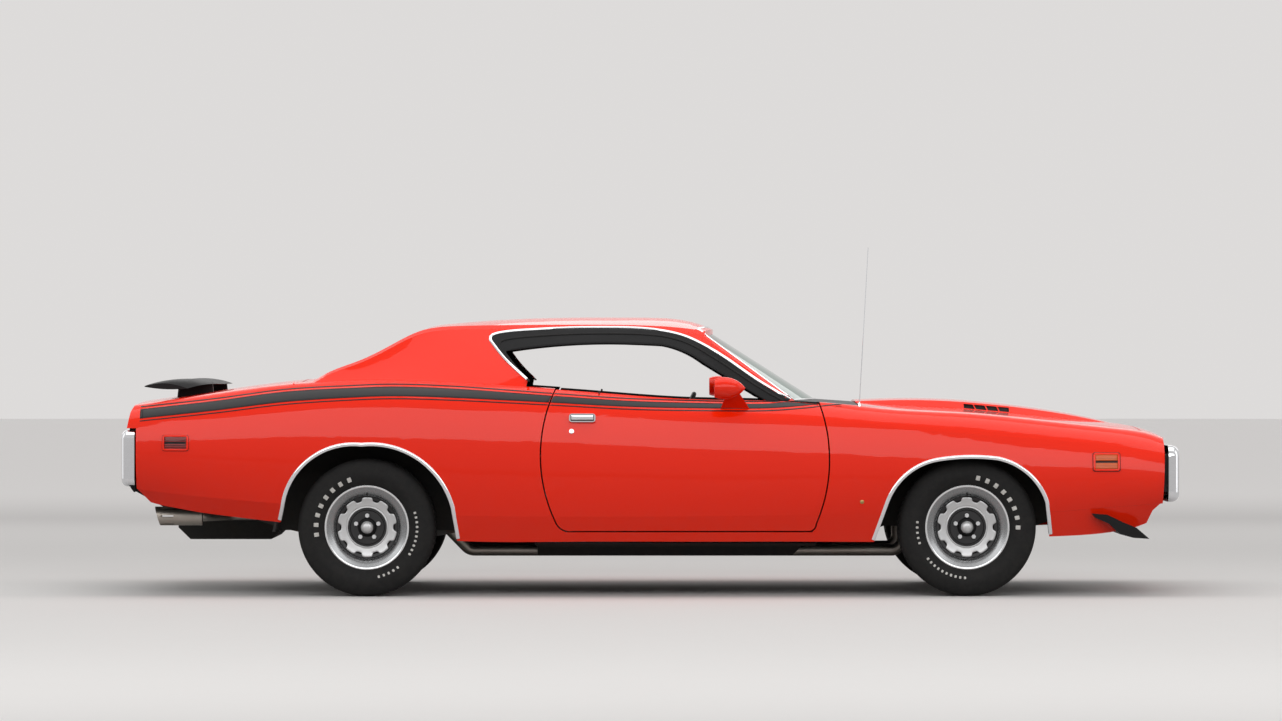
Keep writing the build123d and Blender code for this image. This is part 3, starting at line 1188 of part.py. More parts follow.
# ---- Small pieces on the body ----------------------------------------------------------------------------
MARKER_PROUD = 4.0
Marker = namedtuple("Marker", "x z wide tall")
MARKERS = [Marker(-2308.5, 747, 131, 78), Marker(2212, 654.5, 136, 93)]
with BuildPart() as side_markers:
    with BuildSketch(Plane.XZ):
        for marker in MARKERS:
            with Locations((marker.x, marker.z)):
                RectangleRounded(marker.wide, marker.tall, 12)
    extrude(amount=REACH, both=True)
    add(body_form(-MARKER_PROUD), mode=Mode.INTERSECT)
    add(near_skin, mode=Mode.SUBTRACT)

HANDLE_X = (-397.0, -269.0)
HANDLE_Z = (849.0, 890.0)
HANDLE_Y = (900.0, 992.0)
with BuildPart() as handle_right:
    with BuildSketch(Plane.XZ.offset(HANDLE_Y[0])):
        with Locations((sum(HANDLE_X) / 2, sum(HANDLE_Z) / 2)):
            RectangleRounded(HANDLE_X[1] - HANDLE_X[0], HANDLE_Z[1] - HANDLE_Z[0], 14)
    extrude(amount=HANDLE_Y[1] - HANDLE_Y[0])
    add(near_skin, mode=Mode.SUBTRACT)
with BuildPart() as handle_left:
    mirror(handle_right.part, about=Plane.XZ)

MIRROR_X = (310.0, 457.0)
MIRROR_Y = 1000.0
MIRROR_Z = 1013.0
MIRROR_R = 54.0
with BuildPart() as mirror_right:
    with BuildSketch(Plane.XZ.offset(MIRROR_Y)):
        with BuildLine():
            Line((MIRROR_X[0], MIRROR_Z), (MIRROR_X[0], MIRROR_Z + MIRROR_R - 8))
            ThreePointArc((MIRROR_X[0], MIRROR_Z + MIRROR_R - 8), (MIRROR_X[0] + 92, MIRROR_Z + 44),
                          (MIRROR_X[1], MIRROR_Z))
            Line((MIRROR_X[1], MIRROR_Z), (MIRROR_X[0], MIRROR_Z))
        make_face()
    revolve(axis=Axis((0, -MIRROR_Y, MIRROR_Z), (1, 0, 0)))
    with BuildSketch(Plane.XY.offset(905)):
        with Locations((408, -892)):
            Rectangle(150, 38)
    with BuildSketch(Plane.XY.offset(985)):
        with Locations((400, -978)):
            Rectangle(62, 34)
    loft()
    add(near_skin, mode=Mode.SUBTRACT)
with BuildPart() as mirror_left:
    mirror(mirror_right.part, about=Plane.XZ)

ANTENNA_FOOT = Vector(1014, -828, 900)
ANTENNA_TIP = Vector(1058, -828, 1697)
with BuildPart() as antenna:
    with BuildSketch(Plane(origin=ANTENNA_FOOT, z_dir=ANTENNA_TIP - ANTENNA_FOOT)):
        Circle(2.2)
    extrude(amount=(ANTENNA_TIP - ANTENNA_FOOT).length)
    with BuildSketch(Plane.XY.offset(ANTENNA_FOOT.Z)):
        with Locations((ANTENNA_FOOT.X + 1, ANTENNA_FOOT.Y)):
            Circle(14)
    extrude(amount=42, taper=12)
    add(near_skin, mode=Mode.SUBTRACT)

WING = namedtuple("Wing", "y lead trail z")
WING_STATIONS = [WING(*row) for row in [
    (-690, -2270, -2480, 1010), (-600, -2200, -2425, 1028), (-320, -2128, -2350, 1031), (0, -2104, -2330, 1031),
    (320, -2128, -2350, 1031), (600, -2200, -2425, 1028), (690, -2270, -2480, 1010)]]
PEDESTAL_Y = 455.0
with BuildPart() as rear_wing:
    for row in WING_STATIONS:
        chord = row.lead - row.trail
        with BuildSketch(Plane.XZ.offset(-row.y)):
            with BuildLine():
                ThreePointArc((row.lead, row.z), (row.lead - chord * 0.4, row.z + 23),
                              (row.trail, row.z + 12))
                Line((row.trail, row.z + 12), (row.trail, row.z + 8))
                ThreePointArc((row.trail, row.z + 8), (row.lead - chord * 0.5, row.z - 4),
                              (row.lead, row.z))
            make_face()
    loft()
    with BuildSketch(Plane.XZ.offset(PEDESTAL_Y - 16)):
        Polygon((-2165, 1038), (-2330, 1042), (-2345, 900), (-2150, 900), align=None)
    extrude(amount=32)
    mirror(about=Plane.XZ)
    add(near_skin, mode=Mode.SUBTRACT)

REAR_GLASS_DEEP = 12.0
REAR_GLASS_FIT = 2.0
with BuildPart() as rear_window:
    add(cabin_form(REAR_GLASS_DEEP) - cabin_form(REAR_GLASS_DEEP + GLASS))
    add(plan_block([(REAR_WINDOW_FOOT[0] - 30, REAR_WINDOW_FOOT[1] + 4), (REAR_WINDOW_TOP[0] - FIT,
        REAR_WINDOW_TOP[1] - FIT)], 900, 1500), mode=Mode.INTERSECT)
    add(near_skin, mode=Mode.SUBTRACT)

pieces = {
    "fenders": fenders, "quarters": quarters, "roof": roof, "sills": sills, "hood": hood, "deck_lid": deck_lid,
    "nose_panel": nose_panel, "cowl": cowl, "rear_shelf": rear_shelf, "door_right": door_right,
    "door_left": door_left, "windshield": windshield, "rear_window": rear_window,
    "floor_pan": floor_pan, "firewall": firewall, "inner_fenders": inner_fenders,
    "wheelhouses": wheelhouses, "tail_panel": tail_panel, "engine": engine, "propshaft": propshaft,
    "front_suspension": front_suspension, "rear_axle": rear_axle, "exhaust": exhaust,
    "fuel_tank": fuel_tank, "front_seats": front_seats, "rear_seat": rear_seat,
    "dashboard": dashboard, "steering_wheel": steering_wheel, "front_bumper": front_bumper,
    "grille": grille, "headlamps": headlamps, "front_valance": front_valance,
    "chin_spoilers": chin_spoilers, "rear_bumper": rear_bumper, "tail_lamps": tail_lamps,
    "side_markers": side_markers, "handle_right": handle_right, "handle_left": handle_left,
    "mirror_right": mirror_right, "mirror_left": mirror_left, "antenna": antenna,
    "rear_wing": rear_wing, "knuckle_left": knuckle_left, "knuckle_right": knuckle_right,
    "wheel_front_left": wheel_front_left, "wheel_front_right": wheel_front_right,
    "wheel_rear_left": wheel_rear_left, "wheel_rear_right": wheel_rear_right,
    "tyre_front_left": tyre_front_left, "tyre_front_right": tyre_front_right,
    "tyre_rear_left": tyre_rear_left, "tyre_rear_right": tyre_rear_right,
}
for name, piece in pieces.items():
    piece.part.label = name
    export_step(piece.part, f"parts/{name}.step")
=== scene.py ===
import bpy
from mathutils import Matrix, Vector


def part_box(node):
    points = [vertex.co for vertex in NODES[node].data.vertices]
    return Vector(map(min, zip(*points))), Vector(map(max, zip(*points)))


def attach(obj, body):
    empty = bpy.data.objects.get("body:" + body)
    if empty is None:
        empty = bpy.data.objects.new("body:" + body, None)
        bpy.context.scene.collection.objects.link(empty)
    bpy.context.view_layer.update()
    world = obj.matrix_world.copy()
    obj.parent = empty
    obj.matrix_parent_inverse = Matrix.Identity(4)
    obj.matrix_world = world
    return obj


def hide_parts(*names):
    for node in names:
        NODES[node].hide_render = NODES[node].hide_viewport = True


bl_info = {
    "name": "Muscle car dressing",
    "version": (1, 0, 0),
    "blender": (4, 5, 0),
    "location": "3D View > Sidebar > Car",
    "description": "Finishes, trim, tyres, seats and stage for a two-door fastback car",
    "category": "Object",
}

from contextlib import contextmanager
from math import atan2, cos, pi, radians, sin

import bmesh
import bpy
from bpy.props import FloatProperty, FloatVectorProperty, IntProperty, PointerProperty
from mathutils import Matrix, Vector
from mathutils.bvhtree import BVHTree

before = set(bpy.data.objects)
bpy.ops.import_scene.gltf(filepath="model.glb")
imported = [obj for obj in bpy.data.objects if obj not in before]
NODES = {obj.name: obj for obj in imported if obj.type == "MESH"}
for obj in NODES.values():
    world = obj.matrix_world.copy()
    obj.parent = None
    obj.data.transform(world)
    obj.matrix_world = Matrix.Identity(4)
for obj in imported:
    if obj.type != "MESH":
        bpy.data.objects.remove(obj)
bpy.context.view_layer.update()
MM = 0.001

AXLE_X = (1539.5 * MM, -1381.5 * MM)
WHEEL_Y = (758 * MM, 787.5 * MM)
AXLE_Z = 335 * MM
LAMP_PAIR_Y, LAMP_HALF_PITCH, LAMP_Z = 622.5 * MM, 77.5 * MM, 598 * MM
RIGHT, LEFT, REAR = (0, -1, 0), (0, 1, 0), (-1, 0, 0)


# ---- Settings ----
class CarColours(bpy.types.PropertyGroup):
    """Colours of the painted, glazed and covered parts."""
    body: FloatVectorProperty(
        name="Body", description="Body paint", subtype="COLOR", size=3, min=0, max=1,
        default=(0.93, 0.018, 0.0004))
    stripe: FloatVectorProperty(
        name="Stripe", description="Side stripe and pinstripes", subtype="COLOR", size=3, min=0, max=1,
        default=(0.006, 0.006, 0.007))
    satin: FloatVectorProperty(
        name="Satin black", description="Wing, chin spoilers and cowl", subtype="COLOR", size=3, min=0,
        max=1, default=(0.006, 0.006, 0.0065))
    glass: FloatVectorProperty(
        name="Glass", description="Tint of the windscreen and rear window", subtype="COLOR", size=3, min=0,
        max=1, default=(0.010, 0.105, 0.066))
    seat: FloatVectorProperty(
        name="Seats", description="Vinyl of the seats and door cards", subtype="COLOR", size=3, min=0,
        max=1, default=(0.012, 0.012, 0.013))


class CarSizes(bpy.types.PropertyGroup):
    """Sizes of the added trim."""
    lip_wide: FloatProperty(
        name="Arch lip", description="Width of the bright moulding round a wheel arch", unit="LENGTH",
        default=16 * MM, min=4 * MM, max=30 * MM)
    pinstripe_wide: FloatProperty(
        name="Pinstripe", description="Width of the thin lines beside the stripe", unit="LENGTH",
        default=5 * MM, min=1 * MM, max=12 * MM)
    groove_deep: FloatProperty(
        name="Tread depth", description="Depth of the tyre grooves", unit="LENGTH",
        default=7 * MM, min=2 * MM, max=9 * MM)
    tread_slots: IntProperty(
        name="Tread slots", description="Cross slots round a tyre", default=72, min=24, max=96)
    bar_count: IntProperty(
        name="Sidewall bars", description="White raised bars in the main arc of a tyre", default=8, min=3,
        max=16)


def colours():
    return bpy.context.scene.car_colours


def sizes():
    return bpy.context.scene.car_sizes


# ---- Shader helpers ----
class Wire:
    """One value running through a finish's nodes; sums on it add Math nodes."""

    def __init__(self, finish, socket):
        self.finish = finish
        self.socket = socket

    def maths(self, operation, *values, clamp=False):
        return self.finish.node("ShaderNodeMath", {"operation": operation, "use_clamp": clamp}, *values)

    def __add__(self, other):
        return self.maths("ADD", self, other)

    def __sub__(self, other):
        return self.maths("SUBTRACT", self, other)

    def __rsub__(self, other):
        return self.maths("SUBTRACT", other, self)

    def __mul__(self, other):
        return self.maths("MULTIPLY", self, other)

    def __pow__(self, other):
        return self.maths("POWER", self, other)

    def __abs__(self):
        return self.maths("ABSOLUTE", self)

    __radd__ = __add__

    def least(self, other):
        return self.maths("MINIMUM", self, other)

    def most(self, other):
        return self.maths("MAXIMUM", self, other)

    def over(self, edge, soft=0.0005):
        """1 past an edge, 0 before it, with a soft step."""
        return self.finish.node(
            "ShaderNodeMapRange", {"interpolation_type": "SMOOTHSTEP"}, self, edge - soft, edge + soft, 0, 1)

    def between(self, low, high, soft=0.0005):
        return self.over(low, soft) * (1 - self.over(high, soft))

    def wave(self, pitch):
        """A sine of the value, 0 to 1, one cycle each pitch."""
        return self.maths("SINE", self * (2 * pi / pitch)) * 0.5 + 0.5


class Nodes:
    """A node tree to which nodes are added."""

    def __init__(self, tree):
        self.tree = tree

    def node(self, kind, settings=None, *values, out=0, **named):
        """Add a node: its settings first, then socket values or links, then the output asked for."""
        made = self.tree.nodes.new(kind)
        for key, value in (settings or {}).items():
            if key == "stops":
                ramp = made.color_ramp
                for position, shade in value[2:]:
                    ramp.elements.new(position)
                for element, (position, shade) in zip(ramp.elements, value):
                    element.position = position
                    element.color = (*shade, 1)
            else:
                setattr(made, key, value)
        for key, value in [*enumerate(values), *((k.replace("_", " "), v) for k, v in named.items())]:
            self.feed(made.inputs[key], value)
        return Wire(self, made.outputs[out])

    def feed(self, socket, value):
        if isinstance(value, Wire):
            self.tree.links.new(value.socket, socket)
        elif value is not None:
            if hasattr(socket.default_value, "__len__") and len(socket.default_value) == 4:
                value = (*value[:3], 1)
            socket.default_value = value


class Finish(Nodes):
    """A node material with one Principled shader."""

    def __init__(self, name):
        self.material = bpy.data.materials.new(name)
        self.material.use_nodes = True
        super().__init__(self.material.node_tree)
        self.shader = self.tree.nodes["Principled BSDF"]
        self.place = self.node("ShaderNodeTexCoord", out="Object")
        self.x, self.y, self.z = (
            self.node("ShaderNodeSeparateXYZ", {}, self.place, out=axis) for axis in "XYZ")

    def noise(self, scale, detail=3.0, roughness=0.55, stretch=(1, 1, 1)):
        place = self.place
        if stretch != (1, 1, 1):
            place = self.node("ShaderNodeMapping", {}, place, Scale=stretch)
        return self.node("ShaderNodeTexNoise", {}, Vector=place, Scale=scale, Detail=detail,
                         Roughness=roughness)

    def mix(self, share, first, second):
        made = self.tree.nodes.new("ShaderNodeMix")
        made.data_type = "RGBA"
        for index, value in ((0, share), (6, first), (7, second)):
            self.feed(made.inputs[index], value)
        return Wire(self, made.outputs[2])

    def bump(self, height, distance, normal=None):
        return self.node("ShaderNodeBump", {}, Height=height, Distance=distance, Normal=normal)

    def shade(self, **sockets):
        for key, value in sockets.items():
            self.feed(self.shader.inputs[key.replace("_", " ")], value)
        return self

    def coat(self, share, first, second, height, distance, **sockets):
        """A colour between two, a bump and whatever else the shader needs."""
        return self.shade(Base_Color=self.mix(share, first, second), Normal=self.bump(height, distance),
                          **sockets)


def reach(across, up):
    """Distance from an axis, of two wires or numbers."""
    return (across * across + up * up) ** 0.5


def from_wheel(f):
    """Whether a place is on a front wheel, 0 to 1, and how far it lies from its own wheel's axis."""
    front = f.x.over(0, 0.1)
    return front, reach(f.x - (AXLE_X[1] + front * (AXLE_X[0] - AXLE_X[1])), f.z - AXLE_Z)


def tinted(colour, gain):
    return tuple(channel * gain for channel in colour)


def finish(name):
    """The named material, made the first time that it is asked for."""
    found = bpy.data.materials.get(name)
    return found or FINISHES[name](Finish(name)).material


def gloss_paint(f):
    body = tuple(colours().body)
    flow = f.noise(1.6, 2)
    flake = f.noise(1800, 1)
    dust = f.noise(14, 5) * (1 - f.z.over(0.36, 0.12))
    colour = f.mix(flow * 0.5, body, tinted(body, 0.9))
    colour = f.mix(flake.over(0.66, 0.08) * 0.10, colour, (1.0, 0.12, 0.01))
    colour = f.mix(dust * 0.10, colour, (0.20, 0.15, 0.11))
    return f.shade(
        Base_Color=colour, Roughness=0.34 + dust * 0.2, Specular_IOR_Level=0.05,
        Coat_Weight=0.75 - dust * 0.3, Coat_Roughness=0.02, Coat_IOR=1.38,
        Normal=f.bump(f.noise(420, 2), 0.00006))


def gloss_stripe(f):
    wear = f.noise(30, 5)
    return f.coat(wear * 0.4, tuple(colours().stripe), (0.014, 0.014, 0.016), f.noise(500, 2), 0.00004,
                  Roughness=0.26 + wear * 0.10, Specular_IOR_Level=0.22, Coat_Weight=0.2,
                  Coat_Roughness=0.08)


def satin_black(f):
    return f.coat(f.noise(9, 4) * 0.5, tuple(colours().satin), (0.013, 0.013, 0.014),
                  f.noise(240, 4), 0.00008, Roughness=0.40 + f.noise(22, 4) * 0.14, Specular_IOR_Level=0.16)


def undercoat(f):
    road = f.noise(7, 6, 0.65)
    return f.coat(road.over(0.52, 0.2) * 0.5, (0.010, 0.010, 0.010), (0.050, 0.043, 0.036),
                  f.noise(160, 5, 0.7), 0.0006, Roughness=0.72 + road * 0.2)


def chrome_plate(f):
    smear = f.noise(11, 5, 0.6, (1, 1, 3))
    return f.coat(smear * 0.5, (0.74, 0.75, 0.77), (0.62, 0.63, 0.65), f.noise(60, 2), 0.00004,
                  Metallic=1, Roughness=0.05 + smear.over(0.55, 0.2) * 0.07)


def brushed_steel(f):
    lines = f.noise(700, 3, 0.6, (0.03, 1, 1))
    return f.coat(lines, (0.52, 0.52, 0.53), (0.40, 0.40, 0.41), lines, 0.00004,
                  Metallic=1, Roughness=0.26 + lines * 0.14)


def cast_steel(f):
    rust = f.noise(13, 6, 0.68).over(0.56, 0.12)
    return f.coat(rust * 0.6, (0.055, 0.054, 0.052), (0.12, 0.052, 0.024), f.noise(300, 5, 0.7), 0.0005,
                  Metallic=0.6 - rust * 0.4, Roughness=0.46 + rust * 0.34)


def pipe_steel(f):
    return f.coat(f.noise(5, 4), (0.42, 0.40, 0.37), (0.26, 0.22, 0.18), f.noise(260, 4), 0.0002,
                  Metallic=1, Roughness=0.30 + f.noise(40, 5) * 0.25)


def engine_paint(f):
    grime = f.noise(18, 6, 0.7).over(0.52, 0.16)
    return f.coat(grime * 0.7, (0.012, 0.028, 0.085), (0.018, 0.016, 0.014), f.noise(190, 5, 0.7), 0.0006,
                  Roughness=0.34 + grime * 0.4)


def moulded_plastic(f):
    grain = f.node("ShaderNodeTexVoronoi", {}, Vector=f.place, Scale=650)
    return f.coat(f.noise(12, 4), (0.013, 0.013, 0.014), (0.021, 0.021, 0.021), grain, 0.00012,
                  Roughness=0.46 + grain * 0.14)


def rubber(f):
    dust = f.noise(26, 6, 0.65)
    return f.coat(dust.over(0.5, 0.2) * 0.35, (0.0065, 0.0065, 0.0068), (0.030, 0.028, 0.026),
                  f.noise(520, 4), 0.00012, Roughness=0.62 + dust * 0.2, Specular_IOR_Level=0.25)


def vinyl(f):
    grain = f.node("ShaderNodeTexVoronoi", {"feature": "DISTANCE_TO_EDGE"}, Vector=f.place, Scale=420)
    worn = f.noise(8, 5)
    seat = tuple(colours().seat)
    return f.coat(worn * 0.6, seat, tinted(seat, 2), grain.over(0.05, 0.06), 0.00016,
                  Roughness=0.34 + worn * 0.16)


def carpet(f):
    tuft = f.noise(900, 3, 0.8)
    return f.coat(tuft, (0.006, 0.006, 0.006), (0.030, 0.029, 0.028), tuft + f.noise(60, 3), 0.0015,
                  Roughness=0.95)


def headliner(f):
    weave = f.x.wave(0.0026) * f.y.wave(0.0026)
    return f.coat(weave, (0.018, 0.018, 0.019), (0.035, 0.035, 0.036), weave, 0.0003, Roughness=0.86)


def tinted_glass(f):
    facing = f.node("ShaderNodeLayerWeight", {}, Blend=0.35, out="Facing")
    smear = f.noise(6, 4)
    band = f.z.over(1.215, 0.055)
    tint = tuple(colours().glass)
    return f.shade(
        Base_Color=f.mix(band * 0.9, tint, tinted(tint, 0.12)), Roughness=0.015 + smear * 0.02,
        Alpha=(0.30 + facing * 0.85 + band * 0.3).least(0.97), Specular_IOR_Level=0.22, Coat_Weight=0.15,
        Coat_Roughness=0.01)


def lamp_glass(f):
    radius = reach(abs(abs(f.y) - LAMP_PAIR_Y) - LAMP_HALF_PITCH, f.z - LAMP_Z)
    flutes = f.y.wave(0.0072) * 0.7 + f.z.wave(0.031) * 0.3
    # painted reflection: the lamp is lighter at its middle and darker towards its rim
    painted_reflection_fade = radius.over(0.030, 0.036)
    return f.coat(painted_reflection_fade, (0.92, 0.93, 0.94), (0.50, 0.52, 0.54),
                  flutes * (1 - radius.over(0.064, 0.003)), 0.0014, Metallic=0.35 + painted_reflection_fade * 0.3,
                  Roughness=0.09 + f.noise(30, 3) * 0.05, Coat_Weight=1, Coat_Roughness=0.01)


def ribbed_lens(f, pitch, deep, rough, dark, light):
    ribs = f.z.wave(pitch)
    return f.coat(ribs, dark, light, ribs, deep, Roughness=rough + f.noise(40, 3) * 0.05,
                  Specular_IOR_Level=0.3, Coat_Weight=0.4, Coat_Roughness=0.02)


def ribbed_red(f):
    return ribbed_lens(f, 0.0125, 0.0018, 0.12, (0.10, 0.001, 0.002), (0.24, 0.003, 0.003))


def ribbed_amber(f):
    return ribbed_lens(f, 0.008, 0.0009, 0.14, (0.50, 0.060, 0.003), (0.72, 0.120, 0.006))


def wheel_metal(f):
    """Bright rim and nuts, dark centre, and painted shade: black behind the slotted disc and in the gap to
    the trim ring.
    """
    front, radius = from_wheel(f)
    outboard = abs(f.y) - (WHEEL_Y[1] + front * (WHEEL_Y[0] - WHEEL_Y[1]))
    centre = (1 - radius.over(0.096)) * (1 - outboard.over(0.0508) * radius.over(0.0445))
    # painted shade: black on the band behind the disc and on the barrel inboard of the ring, where openings
    # would be in shade
    dark = (centre * outboard.over(0.030, 0.004)).most(radius.between(0.109, 0.1532)).most(
        radius.over(0.150) * (1 - outboard.over(0.060, 0.004)))
    silver = f.mix(f.noise(900, 2) * 0.5, (0.62, 0.63, 0.64), (0.50, 0.51, 0.52))
    bright = radius.over(0.150, 0.001)
    return f.coat(dark, f.mix(bright, silver, (0.74, 0.75, 0.76)), (0.010, 0.010, 0.011),
                  f.noise(300, 3), 0.00006, Metallic=1 - dark * 0.9,
                  Roughness=0.30 - bright * 0.22 + dark * 0.15 + f.noise(60, 4) * 0.08)


def ring_steel(f):
    """Satin dish darkened as a painted reflection of dark surroundings, with a polished outer lip."""
    lip = from_wheel(f)[1].over(0.1965, 0.002)
    # painted reflection: the dish's dark base colour stands in for what the polished metal reflects
    return f.coat(lip, (0.235, 0.240, 0.245), (0.70, 0.71, 0.72), f.noise(300, 3), 0.00004,
                  Metallic=1, Roughness=0.24 - lip * 0.15 + f.noise(60, 4) * 0.06)


def disc_silver(f):
    """Satin silver paint on a pressed disc."""
    flake = f.noise(1400, 2)
    return f.coat(flake * 0.5, (0.58, 0.585, 0.59), (0.44, 0.445, 0.45), flake, 0.00004,
                  Metallic=0.55, Roughness=0.34 + f.noise(40, 4) * 0.1)


def white_rubber(f):
    grime = f.noise(60, 5, 0.7)
    return f.coat(grime.over(0.5, 0.2) * 0.5, (0.72, 0.71, 0.68), (0.40, 0.38, 0.35), f.noise(400, 3), 0.0001,
                  Roughness=0.6 + grime * 0.2)


def mirror_glass(f):
    return f.shade(Base_Color=f.mix(f.noise(20, 3), (0.80, 0.82, 0.84), (0.74, 0.76, 0.78)), Metallic=1,
                   Roughness=0.02 + f.noise(60, 3) * 0.02)


def plate_white(f):
    return f.coat(f.noise(40, 4), (0.70, 0.70, 0.68), (0.60, 0.60, 0.58), f.noise(300, 2), 0.00005,
                  Roughness=0.34 + f.noise(80, 4) * 0.1)


def dial_face(f):
    ticks = f.noise(90, 1)
    return f.shade(Base_Color=f.mix(ticks.over(0.7, 0.02), (0.010, 0.010, 0.012), (0.5, 0.5, 0.48)),
                   Roughness=0.3 + ticks * 0.1, Coat_Weight=1, Coat_Roughness=0.02)


def brass_cap(f):
    return f.shade(Base_Color=f.mix(f.noise(200, 4), (0.48, 0.33, 0.14), (0.30, 0.19, 0.07)), Metallic=1,
                   Roughness=0.3 + f.noise(300, 3) * 0.15)


LOOKS = {
    "paint": (gloss_paint,), "black_paint": (gloss_stripe, satin_black, undercoat),
    "chrome": (chrome_plate, ring_steel, mirror_glass), "rim": (wheel_metal, disc_silver),
    "steel": (brushed_steel, cast_steel, pipe_steel, engine_paint, brass_cap),
    "dark_plastic": (moulded_plastic, plate_white, dial_face), "tyre": (rubber, white_rubber),
    "seat_cover": (vinyl, carpet, headliner), "glass": (tinted_glass,), "lamp_glass": (lamp_glass,),
    "red_lens": (ribbed_red, ribbed_amber),
}
FINISHES = {look.__name__: look for looks in LOOKS.values() for look in looks}
SLOT_OF = {look.__name__: slot for slot, looks in LOOKS.items() for look in looks}


# ---- Mesh helpers ----
class Surface:
    """The skin of some carried-over nodes, read by rays."""

    def __init__(self, *names):
        points, faces = [], []
        for name in names:
            mesh = NODES[name].data
            start = len(points)
            points += [vertex.co.copy() for vertex in mesh.vertices]
            faces += [[start + index for index in face.vertices] for face in mesh.polygons]
        self.tree = BVHTree.FromPolygons(points, faces)

    def hit(self, origin, direction):
        spot, normal, _, _ = self.tree.ray_cast(Vector(origin), Vector(direction))
        return (spot, normal) if spot else None

    def side(self, x, z):
        """Point and normal on the right side at a side-view place."""
        return self.hit((x, -1.4, z), (0, 1, 0))

    def beside(self, x, z):
        """As side, or the nearest skin where the ray misses the near half."""
        if self.beside_reads(x, z):
            return self.side(x, z)
        return self.tree.find_nearest(Vector((x, -0.88, z)))[:2]

    def beside_reads(self, x, z):
        """Whether the near half of the body is there at a side-view place."""
        found = self.side(x, z)
        return found is not None and found[0].y < -0.4

    def top(self, x, y):
        return self.hit((x, y, 2.0), (0, 0, -1))

    def front(self, y, z):
        return self.hit((3.2, y, z), (-1, 0, 0))

    def edge(self, reads, inside, outside, steps=18):
        """The last place, walking from one that reads the skin to one that doesn't."""
        for _ in range(steps):
            middle = tuple((a + b) / 2 for a, b in zip(inside, outside))
            inside, outside = (middle, outside) if reads(*middle) else (inside, middle)
        return inside


def close_up(bm):
    bmesh.ops.remove_doubles(bm, verts=bm.verts, dist=1e-6)
    bmesh.ops.recalc_face_normals(bm, faces=bm.faces)


def piece(name, bm, look, body, sharp=38.0, mirrored=False, thick=0.0):
    """Turn a finished bmesh into an object that rides on a body; a sheet gets its thickness inwards."""
    if mirrored:
        copy = bmesh.ops.duplicate(bm, geom=bm.verts[:] + bm.edges[:] + bm.faces[:])["geom"]
        bmesh.ops.scale(bm, vec=(1, -1, 1), verts=[v for v in copy if isinstance(v, bmesh.types.BMVert)])
        bmesh.ops.reverse_faces(bm, faces=[f for f in copy if isinstance(f, bmesh.types.BMFace)])
    if not thick:
        close_up(bm)
    mesh = bpy.data.meshes.new(name)
    bm.to_mesh(mesh)
    bm.free()
    mesh.materials.append(finish(look))
    mesh.shade_smooth()
    mesh.set_sharp_from_angle(angle=radians(sharp))
    made = bpy.data.objects.new(name, mesh)
    bpy.context.scene.collection.objects.link(made)
    if thick:
        shell = made.modifiers.new("thickness", "SOLIDIFY")
        shell.thickness = thick
        shell.offset = -1
    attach(made, body)
    return made


def pair(name, bm, look, body, **how):
    """A right-hand piece and its left-hand twin, each on its own side's body."""
    other = bm.copy()
    bmesh.ops.scale(other, vec=(1, -1, 1), verts=other.verts)
    bmesh.ops.reverse_faces(other, faces=other.faces)
    piece(f"{name}_right", bm, look, f"{body}_right", **how)
    piece(f"{name}_left", other, look, f"{body}_left", **how)


@contextmanager
def shape(name, look, body="chassis", twin=False, **how):
    """An empty mesh to fill, which then becomes a piece, or a twin pair."""
    bm = bmesh.new()
    yield bm
    (pair if twin else piece)(name, bm, look, body, **how)


def along(points, steps):
    """Places spread evenly along a smooth line through some points."""
    pts = [Vector(p) for p in points]
    pts = [2 * pts[0] - pts[1], *pts, 2 * pts[-1] - pts[-2]]
    fine = []
    for a, b, c, d in zip(pts, pts[1:], pts[2:], pts[3:]):
        for step in range(16):
            t = step / 16
            fine.append(0.5 * (2 * b + (c - a) * t + (2 * a - 5 * b + 4 * c - d) * t * t
                               + (3 * b - a - 3 * c + d) * t ** 3))
    fine.append(pts[-2])
    runs = [0.0]
    for a, b in zip(fine, fine[1:]):
        runs.append(runs[-1] + (b - a).length)
    spread, index = [], 0
    for step in range(steps):
        want = runs[-1] * step / (steps - 1)
        while index < len(runs) - 2 and runs[index + 1] < want:
            index += 1
        share = (want - runs[index]) / max(runs[index + 1] - runs[index], 1e-9)
        spread.append(fine[index].lerp(fine[index + 1], min(share, 1)))
    return spread


def sheet(bm, place, columns, rows):
    """A grid whose corners run from place(0, 0) to place(1, 1)."""
    made = bmesh.ops.create_grid(bm, x_segments=columns, y_segments=rows, size=0.5)["verts"]
    for vertex in made:
        vertex.co = place(vertex.co.x + 0.5, vertex.co.y + 0.5)
    return made


def moulding(bm, spots, section, closed=False):
    """Sweep a section of (across, out) offsets along spots of (point, outward normal)."""
    count, sides = len(spots), len(section)
    rings = []
    for index, (spot, normal) in enumerate(spots):
        ahead = spots[(index + 1) % count][0] if closed or index < count - 1 else spot
        behind = spots[index - 1][0] if closed or index else spot
        tangent = (ahead - behind).normalized()
        across = tangent.cross(normal).normalized()
        out = across.cross(tangent).normalized()
        rings.append([spot + across * a + out * b for a, b in section])
    runs = count if closed else count - 1
    made = sheet(bm, lambda u, v: rings[round(v * runs) % count][round(u * sides) % sides], sides, runs)
    bmesh.ops.remove_doubles(bm, verts=made, dist=1e-6)
    if not closed:
        bmesh.ops.holes_fill(bm, edges=[e for e in bm.edges if e.is_boundary], sides=0)


def face_outwards(bm, faces=None):
    """Turn an open sheet on the right side to face away from the car."""
    faces = list(faces or bm.faces)
    bmesh.ops.recalc_face_normals(bm, faces=faces)
    if sum(f.normal.y * f.calc_area() for f in faces) > 0:
        bmesh.ops.reverse_faces(bm, faces=faces)


